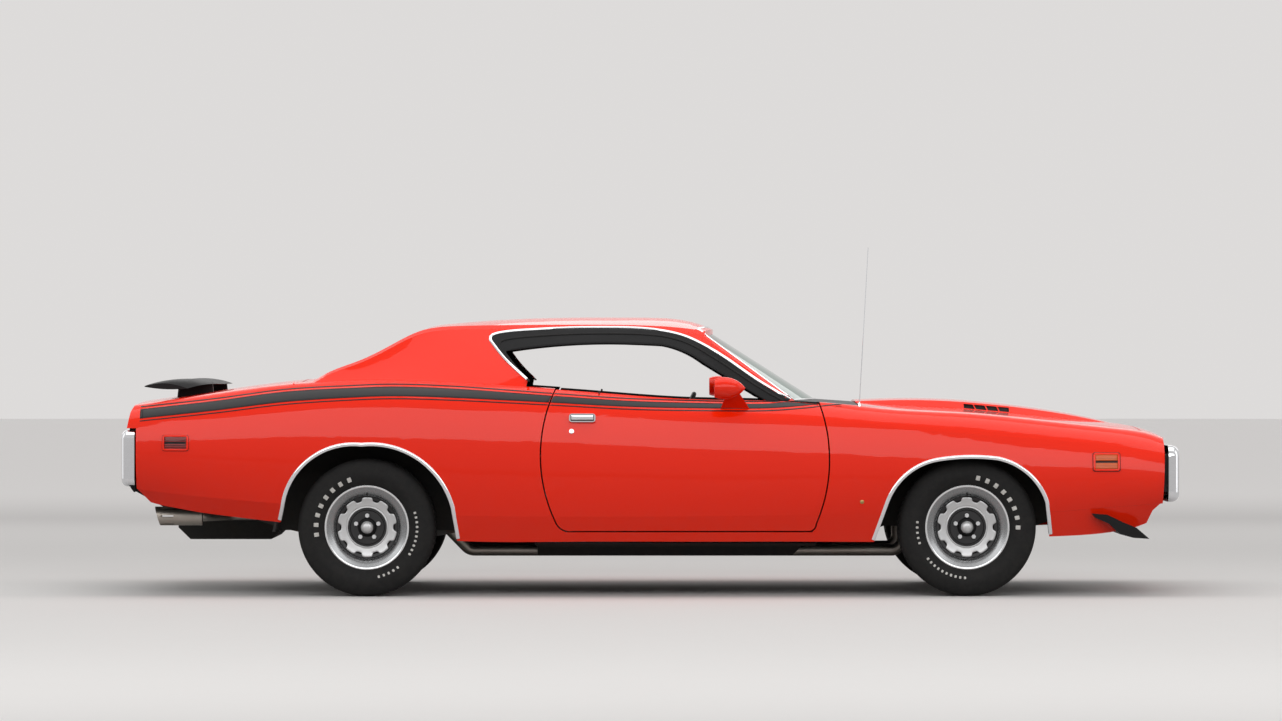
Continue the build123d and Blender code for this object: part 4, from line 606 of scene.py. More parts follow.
def skin_sheet(bm, surface, place, columns, rows, proud=0.0006):
    """A sheet laid on the right side of a surface, facing out; place(u, v) gives its (x, z)."""
    def laid(u, v):
        x, z = place(u, v)
        spot, normal = surface.beside(x, z)
        return spot + normal * proud
    face_outwards(bm, dict.fromkeys(f for v in sheet(bm, laid, columns, rows) for f in v.link_faces))


def side_line(points, steps):
    """Places along a smooth side-view line: X and Z in metres, from points in millimetres."""
    return along([(x * MM, z * MM, 0) for x, z in points], steps)


def line(points):
    """A smooth height over X, in metres, from points in millimetres."""
    spread = side_line(sorted(points), 160)

    def height(x):
        for a, b in zip(spread, spread[1:]):
            if x <= b.x:
                share = (x - a.x) / max(b.x - a.x, 1e-9)
                return a.y + (b.y - a.y) * max(share, 0)
        return spread[-1].y
    return height


def present(readings):
    return [found for found in readings if found]


def strip_section(wide, proud, sunk=0.002):
    """Half-round bright strip, its foot sunk in the panel."""
    half = wide / 2
    return [(-half, -sunk), (-half, proud * 0.45), (-half * 0.62, proud * 0.88), (0, proud),
            (half * 0.62, proud * 0.88), (half, proud * 0.45), (half, -sunk)]


def block(bm, size, matrix, corner, edge):
    """A box with rounded upright corners and eased rims, placed by a matrix."""
    others = set(bm.verts)

    def own_edges():
        return [e for e in bm.edges if e.verts[0] not in others]
    verts = bmesh.ops.create_cube(bm, size=1.0)["verts"]
    bmesh.ops.scale(bm, vec=size, verts=verts)
    if corner:
        upright = [e for e in own_edges() if abs(e.verts[0].co.z - e.verts[1].co.z) > 1e-6]
        bmesh.ops.bevel(bm, geom=upright, offset=corner, affect="EDGES", segments=5, profile=0.5, material=-1)
    if edge:
        rims = [e for e in own_edges() if len(e.link_faces) == 2 and e.calc_face_angle() > 0.9]
        bmesh.ops.bevel(bm, geom=rims, offset=edge, affect="EDGES", segments=2, profile=0.5, material=-1)
    bmesh.ops.transform(bm, matrix=matrix, verts=[v for v in bm.verts if v not in others])


def lathe(bm, profile, matrix, steps):
    """Spin a profile of (radius, height) in millimetres about local Z and place it."""
    others = set(bm.verts)
    verts = [bm.verts.new((radius * MM, 0, height * MM)) for radius, height in profile]
    edges = [bm.edges.new(two) for two in zip(verts, verts[1:])]
    bmesh.ops.spin(bm, geom=verts + edges, cent=(0, 0, 0), axis=(0, 0, 1), angle=2 * pi, steps=steps,
                   use_merge=True)
    own = [v for v in bm.verts if v not in others]
    poles = [v for v in own if v.co.xy.length < 1e-7]
    bmesh.ops.transform(bm, matrix=matrix, verts=own)
    if poles:
        bmesh.ops.remove_doubles(bm, verts=poles, dist=1e-6)


def facing(direction, spot):
    """A matrix that puts local Z along a direction at a spot."""
    return Matrix.Translation(spot) @ Vector(direction).to_track_quat("Z", "Y").to_matrix().to_4x4()


def recoat(name, look, **also):
    """Give a carried-over node its finish, and other finishes to the faces that their tests pick."""
    mesh = NODES[name].data
    mesh.materials.clear()
    mesh.materials.append(finish(look))
    for index, (extra, test) in enumerate(also.items(), 1):
        mesh.materials.append(finish(extra))
        for face in mesh.polygons:
            if test(face.center, face.normal):
                face.material_index = index


# ---- Panels ----
PLAIN = {
    "gloss_paint": "sills nose_panel front_valance mirror_right mirror_left deck_lid rear_shelf",
    "satin_black": "cowl tail_panel chin_spoilers rear_wing firewall side_markers",
    "undercoat": "inner_fenders wheelhouses fuel_tank",
    "cast_steel": "front_suspension rear_axle propshaft knuckle_left knuckle_right",
    "chrome_plate": "antenna front_bumper rear_bumper handle_right handle_left",
    "wheel_metal": "wheel_front_left wheel_front_right wheel_rear_left wheel_rear_right",
    "tinted_glass": "windshield rear_window", "engine_paint": "engine", "pipe_steel": "exhaust",
    "ribbed_red": "tail_lamps", "vinyl": "dashboard", "lamp_glass": "headlamps",
}
DOOR_INNER_Y = 0.8795        # door faces inboard of this are trimmed
TRUNK_X = -1.70              # the quarters' inner side ahead of this is seen in the cabin
WINDOW_REAR_X = -0.80        # rearmost point of the side windows
WINDOW_MIDDLE = Vector((-0.05, 1.10, 0))        # X and Z
SCOOP_X, SCOOP_Y, SCOOP_Z = (1.556, 1.782), (0.2455, 0.300), (0.87, 0.94)       # louvred insert, hood
LAMP_RIM, LAMP_RIM_HALF = 74 * MM, 2.2 * MM     # radius of the bright rim, half its width
FLOOR_X = (-1.25, 0.93)      # carpeted
STEERING_HUB = Vector((0.150, 0.370, 0.800))
STEERING_AXIS = Vector((cos(radians(22)), 0, -sin(radians(22))))
SPOKES = (0.045, 0.174)      # from the hub's edge to the grip


def into_window(c, n):
    """Whether a face looks into the side window's opening."""
    return (WINDOW_REAR_X < c.x < 0.66 and 0.93 < c.z < 1.27 and abs(c.y) > 0.5
            and abs(n.y) < (0.9 if c.z > WINDOW_MIDDLE.y else 0.5)
            and n.x * (WINDOW_MIDDLE.x - c.x) + n.z * (WINDOW_MIDDLE.y - c.z) > 0.02 and n.z < 0.5)


def into_cabin(c, n):
    return n.y * c.y + n.z * (c.z - 0.90) < -0.02


class CAR_OT_panels(bpy.types.Operator):
    """Finishes of the panels and mechanical parts that keep their shape"""
    bl_idname = "car.panels"
    bl_label = "Panels"

    def execute(self, context):
        for look, names in PLAIN.items():
            for name in names.split():
                recoat(name, look)
        for name, sign in (("door_right", 1), ("door_left", -1)):
            recoat(name, "gloss_paint", vinyl=lambda c, n: n.y * sign > 0.7 and abs(c.y) < DOOR_INNER_Y)
        # satin black on roof and quarter faces looking into the side window's opening: partly weatherstrip,
        # partly painted shade in the reveal
        recoat("roof", "gloss_paint",
               headliner=lambda c, n: n.z < -0.25 and abs(c.y) < 0.60 and c.z > 1.17,
               satin_black=lambda c, n: into_cabin(c, n) or into_window(c, n))
        recoat("quarters", "gloss_paint",
               vinyl=lambda c, n: into_cabin(c, n) and abs(n.y) > 0.25 and TRUNK_X < c.x < WINDOW_REAR_X,
               undercoat=lambda c, n: n.y * c.y < 0 and abs(n.y) > 0.25 and c.x <= TRUNK_X,
               satin_black=lambda c, n: into_window(c, n) or into_cabin(c, n) and c.x >= WINDOW_REAR_X)
        recoat("fenders", "gloss_paint",
               undercoat=lambda c, n: n.y * c.y < 0 and abs(n.y) > 0.3 or (n.z < -0.5 and c.z > 0.60))
        recoat("hood", "gloss_paint",
               moulded_plastic=lambda c, n: SCOOP_X[0] < c.x < SCOOP_X[1]
               and SCOOP_Y[0] < abs(c.y) < SCOOP_Y[1] and SCOOP_Z[0] < c.z < SCOOP_Z[1]
               and (abs(n.y) > 0.985 or abs(n.z) > 0.9 or abs(n.x) > 0.35),
               satin_black=lambda c, n: n.z < -0.4)
        recoat("floor_pan", "undercoat", carpet=lambda c, n: n.z > 0.15 and FLOOR_X[0] < c.x < FLOOR_X[1])
        recoat("grille", "moulded_plastic", chrome_plate=lambda c, n: c.x > 2.5155 and abs(
            reach(abs(abs(c.y) - LAMP_PAIR_Y) - LAMP_HALF_PITCH, c.z - LAMP_Z) - LAMP_RIM) < LAMP_RIM_HALF)

        def on_spokes(c, n):
            rise = (c - STEERING_HUB).dot(STEERING_AXIS)
            return SPOKES[0] < ((c - STEERING_HUB) - STEERING_AXIS * rise).length < SPOKES[1] and rise < 0.02
        recoat("steering_wheel", "vinyl", brushed_steel=on_spokes)
        return {"FINISHED"}


# ---- Side stripe ----
# Side-view places, X and Z in millimetres
STRIPE_TOP = [(-2481, 910), (-2114, 951), (-1780, 995), (-1446, 1014), (-1223, 1020), (-925, 1008),
              (-473, 975), (-132, 952), (164, 942), (528, 936), (707, 952), (794, 967), (867, 975),
              (960, 985)]
STRIPE_LOW = [(-2486, 864), (-2114, 904), (-1780, 945), (-1446, 967), (-1223, 973), (-925, 964), (-484, 942),
              (-132, 923), (164, 916), (528, 914), (730, 926), (867, 941), (960, 950)]
TAPE = 1.2 * MM              # thickness, and gap to a panel's edge
TAPE_ROWS = 6


class CAR_OT_stripe(bpy.types.Operator):
    """Black side stripe with a pinstripe above and below it"""
    bl_idname = "car.stripe"
    bl_label = "Side stripe"

    def execute(self, context):
        top, low = line(STRIPE_TOP), line(STRIPE_LOW)
        thin = sizes().pinstripe_wide
        gap = 9 * MM
        bands = [(low, top), (lambda x: low(x) - gap - thin, lambda x: low(x) - gap),
                 (lambda x: top(x) + gap, lambda x: top(x) + gap + thin)]
        for label, node, inside, rear, front, how in (
                ("quarters", "quarters", -1.4, -2.486, None, {"mirrored": True}),
                ("door", "door_right", 0.0, None, None, {"body": "door", "twin": True}),
                ("fenders", "fenders", 0.9, None, 0.930, {"mirrored": True})):
            with shape(f"stripe_{label}", "gloss_stripe", thick=TAPE, **how) as bm:
                for foot, head in bands:
                    self.band(bm, Surface(node), inside, rear, front, foot, head)
        return {"FINISHED"}

    def band(self, bm, skin, inside, rear, front, foot, head):
        """One band across a panel, from its rear to its front limit or, without one, to the panel's edge."""
        def height(x, v):
            high = min(head(x), skin.edge(skin.side, (x, foot(x)), (x, head(x) + 0.1), 12)[1] - 2 * MM)
            return foot(x) + (max(high, foot(x) + 1 * MM) - foot(x)) * v

        def ends(v):
            for limit, beyond in ((rear, inside - 1.4), (front, inside + 1.4)):
                x, z = limit, height(inside, v)
                if limit is None:
                    for _ in range(3):
                        x = skin.edge(skin.side, (inside, z), (beyond, z))[0]
                        z = height(x, v)
                    x += TAPE if beyond < inside else -TAPE
                yield x

        limits = [tuple(ends(v / TAPE_ROWS)) for v in range(TAPE_ROWS + 1)]

        def place(u, v):
            left, right = limits[round(v * TAPE_ROWS)]
            x = left + (right - left) * u
            return x, height(x, v)
        skin_sheet(bm, skin, place, 120, TAPE_ROWS, TAPE)


# ---- Window surrounds ----
# Side-view places round the side window, X and Z in millimetres
DRIP_LINE = [(-592, 1045), (-612, 1062), (-650, 1096), (-712, 1154), (-768, 1222), (-788, 1254), (-770, 1276),
             (-690, 1291), (-560, 1300), (-437, 1306), (-300, 1309), (-152, 1309), (-34, 1304), (67, 1292),
             (167, 1267), (266, 1221), (369, 1158), (467, 1089), (536, 1042), (610, 997), (680, 958)]
OPENING = [(-584, 1046), (-600, 1068), (-632, 1098), (-688, 1152), (-712, 1182), (-716, 1192), (-708, 1194),
           (-620, 1206), (-520, 1218), (-420, 1226), (-300, 1229), (-152, 1229), (-34, 1227), (60, 1221),
           (120, 1208), (196, 1175), (278, 1122), (370, 1066), (440, 1023), (520, 974), (600, 925)]
REVEAL_COLUMNS, REVEAL_ROWS = 119, 10
GUTTER_ROW = 6
REVEAL_PROUD = 2 * MM
REVEAL_LAP = 3.5 * MM        # past the opening's edge
RUN_ON_MOST = 12 * MM
FOLD_LEAST = 4 * MM          # a reading this far inboard of the last one is the panel's inner side


def run_on(place, last):
    """Y at which the skin last read would pass a place."""
    point, normal = last
    if abs(normal.y) < 0.5:
        return point.y
    rise = (normal.x * (place.x - point.x) + normal.z * (place.y - point.z)) / normal.y
    return point.y - max(-RUN_ON_MOST, min(RUN_ON_MOST, rise))


class CAR_OT_window_trim(bpy.types.Operator):
    """Bright mouldings round the glass, and black reveals: rubber weatherstrip and painted shade in the
    recess
    """
    bl_idname = "car.window_trim"
    bl_label = "Window trim"

    def execute(self, context):
        cabin = Surface("roof", "quarters")
        outer, inner = (side_line(points, REVEAL_COLUMNS + 1) for points in (DRIP_LINE, OPENING))
        laid, gutter = [], []
        for near, far in zip(outer, inner):
            inward = (WINDOW_MIDDLE - far).normalized()
            x, z = cabin.edge(cabin.beside_reads, (far - inward * 0.014)[:2], (far + inward * 0.020)[:2])
            foot = Vector((x, z, 0))
            column, last = [], cabin.beside(near.x, near.y)
            for row in range(REVEAL_ROWS, -1, -1):
                place = foot.lerp(near, row / REVEAL_ROWS)
                if cabin.beside_reads(place.x, place.y):
                    found = cabin.side(place.x, place.y)
                    if abs(found[0].y) > abs(last[0].y) - FOLD_LEAST:
                        last = found
                if row == 0:
                    place += inward * REVEAL_LAP
                column.append(Vector((place.x, run_on(place, last), place.y)) + last[1] * REVEAL_PROUD)
                if row == GUTTER_ROW:
                    gutter.append((column[-1], last[1]))
            laid.append(column[::-1])
        # the reveal sheet's black is partly the rubber weatherstrip and partly painted shade in the recessed
        # reveal
        with shape("side_window_reveals", "satin_black", mirrored=True, thick=3.6 * MM) as bm:
            sheet(bm, lambda u, v: laid[round(u * REVEAL_COLUMNS)][round(v * REVEAL_ROWS)],
                  REVEAL_COLUMNS, REVEAL_ROWS)
            face_outwards(bm)
        with shape("side_window_gutters", "rubber", mirrored=True) as bm:
            moulding(bm, gutter, strip_section(0.010, 0.004))
        with shape("side_window_mouldings", "chrome_plate", mirrored=True) as bm:
            moulding(bm, present(cabin.side(p.x, p.y) for p in outer), strip_section(0.014, 0.007))
        shell = Surface("roof", "quarters", "cowl", "rear_shelf", "windshield", "rear_window")
        for name, node, out in (("windscreen_moulding", "windshield", 0.006),
                                ("rear_window_moulding", "rear_window", -0.004)):
            with shape(name, "chrome_plate") as bm:
                moulding(bm, present(shell.top(x, y) for x, y in self.pane_edge(node, out)),
                         strip_section(0.016, 0.006, 0.004), closed=True)
        self.belt()
        return {"FINISHED"}

    def pane_edge(self, node, out, steps=140):
        """A pane's outline in plan, grown outwards."""
        low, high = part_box(node)
        skin = Surface(node)
        start = ((low.x + high.x) / 2, 0.0)
        for step in range(steps):
            turn = 2 * pi * step / steps
            ray = Vector((cos(turn) * (high.x - low.x), sin(turn) * (high.y - low.y)))
            x, y = skin.edge(skin.top, start, (start[0] + ray.x, start[1] + ray.y))
            ray.normalize()
            yield x + ray.x * out, y + ray.y * out

    def belt(self, rear=-0.440, front=0.780, steps=60):
        """Rubber strip just inside the door's upper edge."""
        door = Surface("door_right")
        spots = []
        for step in range(steps):
            x = rear + (front - rear) * step / (steps - 1)
            y = door.edge(door.top, (x, -0.90), (x, -0.80), 14)[1]
            found = door.top(x, y - 0.006)
            if found:
                spots.append((found[0] - Vector((0, 0, 0.013)), Vector((0, 0, 1))))
        with shape("belt_strip", "rubber", "door", twin=True) as bm:
            moulding(bm, spots, [(-0.007, -0.004), (-0.007, 0.004), (-0.004, 0.008), (0.004, 0.008),
                                 (0.007, 0.003), (0.007, -0.004)])


# ---- Wheel arches ----
class CAR_OT_arch_lips(bpy.types.Operator):
    """Bright mouldings on the lips of the wheel arches"""
    bl_idname = "car.arch_lips"
    bl_label = "Arch lips"

    def execute(self, context):
        wide = sizes().lip_wide
        section = [(-0.0018, -0.016), (-0.0018, 0.002), (0.0, 0.0036), (wide * 0.5, 0.0042),
                   (wide - 0.002, 0.0030), (wide, 0.0010), (wide, -0.003), (0.0012, -0.003), (0.0012, -0.016)]
        for name, nodes, x0, first, last in (
                ("front", ("fenders", "sills", "front_valance"), AXLE_X[0], -6.0, 189.0),
                ("rear", ("quarters", "sills"), AXLE_X[1] + 0.01, -7.0, 175.0)):
            skin = Surface(*nodes)
            centre, spots = Vector((x0, AXLE_Z)), []
            for step in range(150):
                turn = radians(first + (last - first) * step / 149)
                ray = Vector((cos(turn), sin(turn)))
                x, z = skin.edge(lambda a, b: not skin.side(a, b), centre + ray * 0.26, centre + ray * 0.52)
                found = skin.side(x + ray.x * 0.004, z + ray.y * 0.004)
                if found:
                    spots.append((Vector((x, found[0].y, z)), Vector((0, -1, 0.02))))
            with shape(f"arch_lips_{name}", "chrome_plate", mirrored=True) as bm:
                moulding(bm, spots, section)
        return {"FINISHED"}


# ---- Doors ----
MIRROR_SPOT = (0.310, -1.000, 1.013)


class CAR_OT_door_trim(bpy.types.Operator):
    """Locks, door cards, inner handles and mirror glasses"""
    bl_idname = "car.door_trim"
    bl_label = "Door trim"

    def execute(self, context):
        spot, normal = Surface("door_right").side(-0.385, 0.803)
        with shape("door_lock", "chrome_plate", "door", twin=True) as bm:
            lathe(bm, [(0, 4), (7, 4), (8.5, 5.2), (11.5, 4.8), (13, 2), (13, -4), (0, -4)],
                  facing(normal, spot), 28)
            block(bm, (0.0015, 0.007, 0.002), facing(normal, spot + normal * 0.0042), 0, 0)
        low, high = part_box("handle_right")
        middle = Vector(((low.x + high.x) / 2, low.y, (low.z + high.z) / 2))
        wide, tall = high.x - low.x, high.z - low.z
        # painted shade: a dark plate behind the flap stands in for the shade in the gap round it
        with shape("handle_recess", "moulded_plastic", "door", twin=True) as bm:
            block(bm, (wide - 0.014, tall - 0.010, 0.0016), facing(RIGHT, middle), 0.004, 0)
        with shape("handle_flap", "chrome_plate", "door", twin=True) as bm:
            block(bm, (wide - 0.020, tall - 0.019, 0.0060),
                  facing(RIGHT, middle + Vector((0, 0, 0.002))), 0.003, 0.0016)
        with shape("door_lock_knob", "moulded_plastic", "door", twin=True) as bm:
            lathe(bm, [(0, 40), (3.5, 39.5), (5, 37), (4.5, 30), (3, 27), (2.6, 0), (0, 0)],
                  Matrix.Translation((-0.252, -0.880, 0.960)), 20)
        self.card()
        with shape("mirror_glass", "mirror_glass", "door", twin=True) as bm:
            lathe(bm, [(0, 1.6), (40.5, 1.6), (41.5, 1), (41.5, -2), (0, -2)],
                  facing(REAR, MIRROR_SPOT), 40)
        with shape("mirror_rim", "gloss_paint", "door", twin=True) as bm:
            lathe(bm, [(41.5, 3), (44.5, 3.2), (46.5, 1), (46.5, -3), (41.5, -3), (41.5, 3)],
                  facing(REAR, MIRROR_SPOT), 40)
        return {"FINISHED"}

    def card(self):
        """Door card: a padded panel with an armrest, a pull and a window winder."""
        with shape("door_card", "vinyl", "door", twin=True) as bm:
            block(bm, (1.10, 0.44, 0.006), facing(LEFT, (0.13, -0.8655, 0.640)), 0.05, 0.002)
            block(bm, (0.46, 0.07, 0.052), facing(LEFT, (0.02, -0.842, 0.605)), 0.03, 0.010)
        with shape("door_card_bright", "chrome_plate", "door", twin=True) as bm:
            for z in (0.475, 0.820):
                block(bm, (1.06, 0.008, 0.003), facing(LEFT, (0.13, -0.8612, z)), 0, 0.001)
            lathe(bm, [(0, 12), (16, 10), (20, 4), (20, 0), (0, 0)],
                  facing(LEFT, (0.24, -0.8625, 0.700)), 24)
            block(bm, (0.100, 0.014, 0.007), facing(LEFT, (0.285, -0.852, 0.700)), 0.006, 0.002)
            lathe(bm, [(0, 22), (11, 21), (13, 12), (8, 0), (0, 0)],
                  facing(LEFT, (0.330, -0.849, 0.700)), 20)


# ---- Front and rear ends ----
class CAR_OT_front_end(bpy.types.Operator):
    """Turn lamps, lamp rims and fender plugs"""
    bl_idname = "car.front_end"
    bl_label = "Front end"

    def execute(self, context):
        spot, normal = Surface("front_valance", "fenders").front(-0.560, 0.405)
        with shape("turn_lamps", "ribbed_amber", mirrored=True) as bm:
            block(bm, (0.120, 0.036, 0.012), facing(normal, spot + normal * 0.002), 0.012, 0.003)
        with shape("turn_lamp_rims", "chrome_plate", mirrored=True) as bm:
            block(bm, (0.136, 0.050, 0.008), facing(normal, spot - normal * 0.001), 0.016, 0.002)
        spot, normal = Surface("fenders").side(1.022, 0.462)
        with shape("fender_plugs", "brass_cap", mirrored=True) as bm:
            lathe(bm, [(0, 4), (7, 3.6), (10, 1), (10, -4), (0, -4)], facing(normal, spot), 24)
        return {"FINISHED"}


LENS_WIDE, LENS_GAP, LENS_INNER_Y, LENS_Z = (570 - 2 * 22 - 0.6) / 3 * MM, 22 * MM, 230.3 * MM, 0.692


class CAR_OT_rear_end(bpy.types.Operator):
    """Lamp frames, blank plate and deck lock"""
    bl_idname = "car.rear_end"
    bl_label = "Rear end"

    def execute(self, context):
        face_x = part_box("tail_lamps")[0].x
        out = Vector(REAR)
        half_y, half_z, turn = LENS_WIDE / 2, 59.7 * MM, 20 * MM
        with shape("tail_lamp_frames", "chrome_plate", mirrored=True) as bm:
            for index in range(3):
                y = -(LENS_INNER_Y + LENS_WIDE / 2 + index * (LENS_WIDE + LENS_GAP))
                spots = []
                for corner, (sy, sz) in enumerate(((1, 1), (-1, 1), (-1, -1), (1, -1))):
                    for step in range(7):
                        angle = pi / 2 * (corner + step / 6)
                        spots.append((Vector((
                            face_x + 0.001, y + sy * (half_y - turn) + cos(angle) * (turn - 0.003),
                            LENS_Z + sz * (half_z - turn) + sin(angle) * (turn - 0.003))), out))
                moulding(bm, spots, [(-0.0035, -0.008), (-0.0035, 0.003), (0, 0.005), (0.0035, 0.003),
                                     (0.0035, -0.008)], closed=True)
        with shape("number_plate_blank", "plate_white") as bm:
            block(bm, (0.300, 0.150, 0.0025), facing(REAR, (-2.5915, 0, 0.674)), 0.010, 0.0006)
        with shape("plate_screws", "brushed_steel") as bm:
            for y in (-88.9 * MM, 88.9 * MM):
                lathe(bm, [(0, 3.5), (4, 3.2), (7, 1.8), (7, 0), (0, 0)],
                      facing(REAR, (-2.5930, y, 0.742)), 20)
        spot = Surface("tail_panel", "deck_lid", "quarters").hit((-3.0, 0, 0.885), (1, 0, 0))[0]
        with shape("deck_lock", "chrome_plate", "deck_lid" if spot.z > 0.9 else "chassis") as bm:
            lathe(bm, [(0, 6), (20, 6), (26, 4), (28, 0), (28, -6), (0, -6)], facing(REAR, spot), 36)
        return {"FINISHED"}


class CAR_OT_markers(bpy.types.Operator):
    """Lenses and frames of the side markers"""
    bl_idname = "car.markers"
    bl_label = "Side markers"

    def execute(self, context):
        skin = Surface("side_markers", "fenders", "quarters")
        for name, look, x, z, wide, tall in (("rear_marker", "ribbed_red", -2308.5, 747, 108, 24),
                                             ("front_marker", "ribbed_amber", 2212, 654.5, 110, 30)):
            with shape(f"{name}_lenses", look, mirrored=True, thick=0.004) as bm:
                for row in (-1, 1):
                    centre = z + row * (tall / 2 + 5)
                    skin_sheet(bm, skin, lambda u, v: ((x + (u - 0.5) * wide) * MM,
                                                       (centre + (v - 0.5) * tall) * MM), 12, 5, 0.0022)
            half_x, half_z = wide / 2 + 5, tall + 9
            corners = [Vector((x + a * half_x, z + b * half_z)) * MM
                       for a, b in ((-1, -1), (1, -1), (1, 1), (-1, 1), (-1, -1))]
            places = [a.lerp(b, (step + 0.5) / 10) for a, b in zip(corners, corners[1:])
                      for step in range(10)]
            with shape(f"{name}_frames", "gloss_paint", mirrored=True) as bm:
                moulding(bm, present(skin.side(*place) for place in places), strip_section(0.011, 0.0035),
                         closed=True)
        return {"FINISHED"}


# ---- Wheels and tyres ----
def corner_places():
    for end, x, y in (("front", AXLE_X[0], WHEEL_Y[0]), ("rear", AXLE_X[1], WHEEL_Y[1])):
        for side, sign in (("right", -1), ("left", 1)):
            yield f"{end}_{side}", Vector((x, sign * y, AXLE_Z)), sign


def outboard_matrix(spot, sign):
    """Places a shape on a wheel: its local Z outboard, its local X forward."""
    return Matrix.Translation(spot) @ Matrix.Rotation(-pi / 2 * sign, 4, "X")


BEAD = 190.8                 # radius, millimetres
# Radius and offset in millimetres from the inboard bead to the outboard one; None is a groove
TYRE_PROFILE = [
    (BEAD, -84), (193, -90), (203, -100), (222, -113), (245, -123), (262, -126.5), (280, -125), (300, -121.5),
    (314, -118), (323, -113), (330, -106), (333.5, -99),
    (334.2, -90), (334.2, -72), None, (334.8, -50), (334.8, -30), None, (335, -10), (335, 10), None,
    (334.8, 30), (334.8, 50), None, (334.2, 72), (334.2, 90),
    (333.5, 99), (330, 106), (323, 113), (314, 118), (300, 121.5), (280, 125), (262, 126.5), (245, 123),
    (222, 113), (203, 100), (193, 86), (BEAD, 80),
]
BAR_RADIUS, BAR_OUT, BAR_LEAN = 0.2455, 0.1226, radians(-14)
SMALL_BAR = (0.0130, 0.0105, 0.0030)


class CAR_OT_tyres(bpy.types.Operator):
    """Grooved tyres with white raised bars on the sidewall"""
    bl_idname = "car.tyres"
    bl_label = "Tyres"

    def execute(self, context):
        for label, spot, sign in corner_places():
            matrix = outboard_matrix(spot, sign)
            tyre = piece(f"tyre_tread_{label}", self.carcass(matrix), "rubber", f"wheel_{label}", 32)
            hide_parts(f"tyre_{label}")
            start = 78 if spot.x > 0 else 188
            piece(f"tyre_bars_{label}", self.bars(matrix, start), "white_rubber", f"wheel_{label}", 32)
        return {"FINISHED"}

    def carcass(self, matrix):
        deep = sizes().groove_deep
        floor = deep / MM
        profile = []
        for before, here, after in zip([None, *TYRE_PROFILE], TYRE_PROFILE, [*TYRE_PROFILE[1:], None]):
            if here is None:
                profile += [(before[0] - floor, before[1] + 2), (after[0] - floor, after[1] - 2)]
            else:
                profile.append(here)
        bm = bmesh.new()
        inner = [(BEAD, offset) for offset in (40, 0, -40)]
        lathe(bm, profile + inner + [profile[0]], Matrix.Identity(4), sizes().tread_slots * 2)
        close_up(bm)
        ribs = []
        for face in bm.faces:
            spot = face.calc_center_median()
            if spot.xy.length > 0.3328 and abs(face.normal.z) < 0.3:
                turn = (atan2(spot.y, spot.x) / pi + 1) * sizes().tread_slots
                if int(turn + (0.5 if spot.z > 0 else 0)) % 2 and abs(spot.z) > 0.012:
                    ribs.append(face)
        bmesh.ops.inset_individual(bm, faces=ribs, thickness=0.0022, depth=0)
        for face in ribs:
            bmesh.ops.translate(bm, vec=-face.normal * deep * 0.6, verts=face.verts)
        bmesh.ops.transform(bm, matrix=matrix, verts=bm.verts)
        return bm

    def bars(self, matrix, start):
        """Three arcs of plain raised bars on the sidewall, running clockwise from an angle in degrees."""
        bm = bmesh.new()
        count = sizes().bar_count
        for first, number, step, size in ((0, count, 78 / (count - 1), (0.0235, 0.0195, 0.0036)),
                                          (171, 10, 5.4, SMALL_BAR), (240, 5, 6.0, SMALL_BAR)):
            for index in range(number):
                tip = (Matrix.Rotation(radians(start - first - index * step), 4, "Z")
                       @ Matrix.Translation((BAR_RADIUS, 0, BAR_OUT)) @ Matrix.Rotation(BAR_LEAN, 4, "Y"))
                block(bm, size, tip, 0.003, 0.0007)
        bmesh.ops.transform(bm, matrix=matrix, verts=bm.verts)
        return bm


RING = [(153.5, 69), (153.7, 71.2), (156, 74), (161, 79.8), (168, 86.6), (177.5, 91.4), (187, 95.2),
        (194, 98.4), (199, 100.6), (204.5, 101.2), (207.8, 99.8), (208.8, 96), (199, 94.5), (168, 82),
        (153.5, 69)]
CAP_BEAD = [(94.5, 49.5), (94.8, 54), (97.5, 55.6), (100.5, 54.8), (104, 52), (104, 49.5), (94.5, 49.5)]
CAP = [(0, 94.8), (8, 94.3), (16, 92.2), (23.5, 87.8), (28.5, 82.6), (30, 79.5), (30, 76.5), (0, 76.5)]
CENTRE_BEAD = [(80.5, 49.5), (81, 52), (83, 53), (85, 52), (85.5, 49.5), (80.5, 49.5)]
CENTRE = [(33, 60), (34.5, 68), (38.5, 67), (40.5, 60), (46, 49.5), (33, 49.5), (33, 60)]
# Half of one notch in the disc's edge: angle from its middle in degrees, radius in millimetres
NOTCH = [(0.0, 127.0), (3.0, 127.5), (4.9, 129.2), (6.2, 132.0), (7.0, 136.0), (7.8, 140.2), (8.8, 143.2),
         (10.2, 144.6), (12.4, 145.2), (15.0, 145.4)]
NOTCHES, DISC_INNER = 10, 100.0


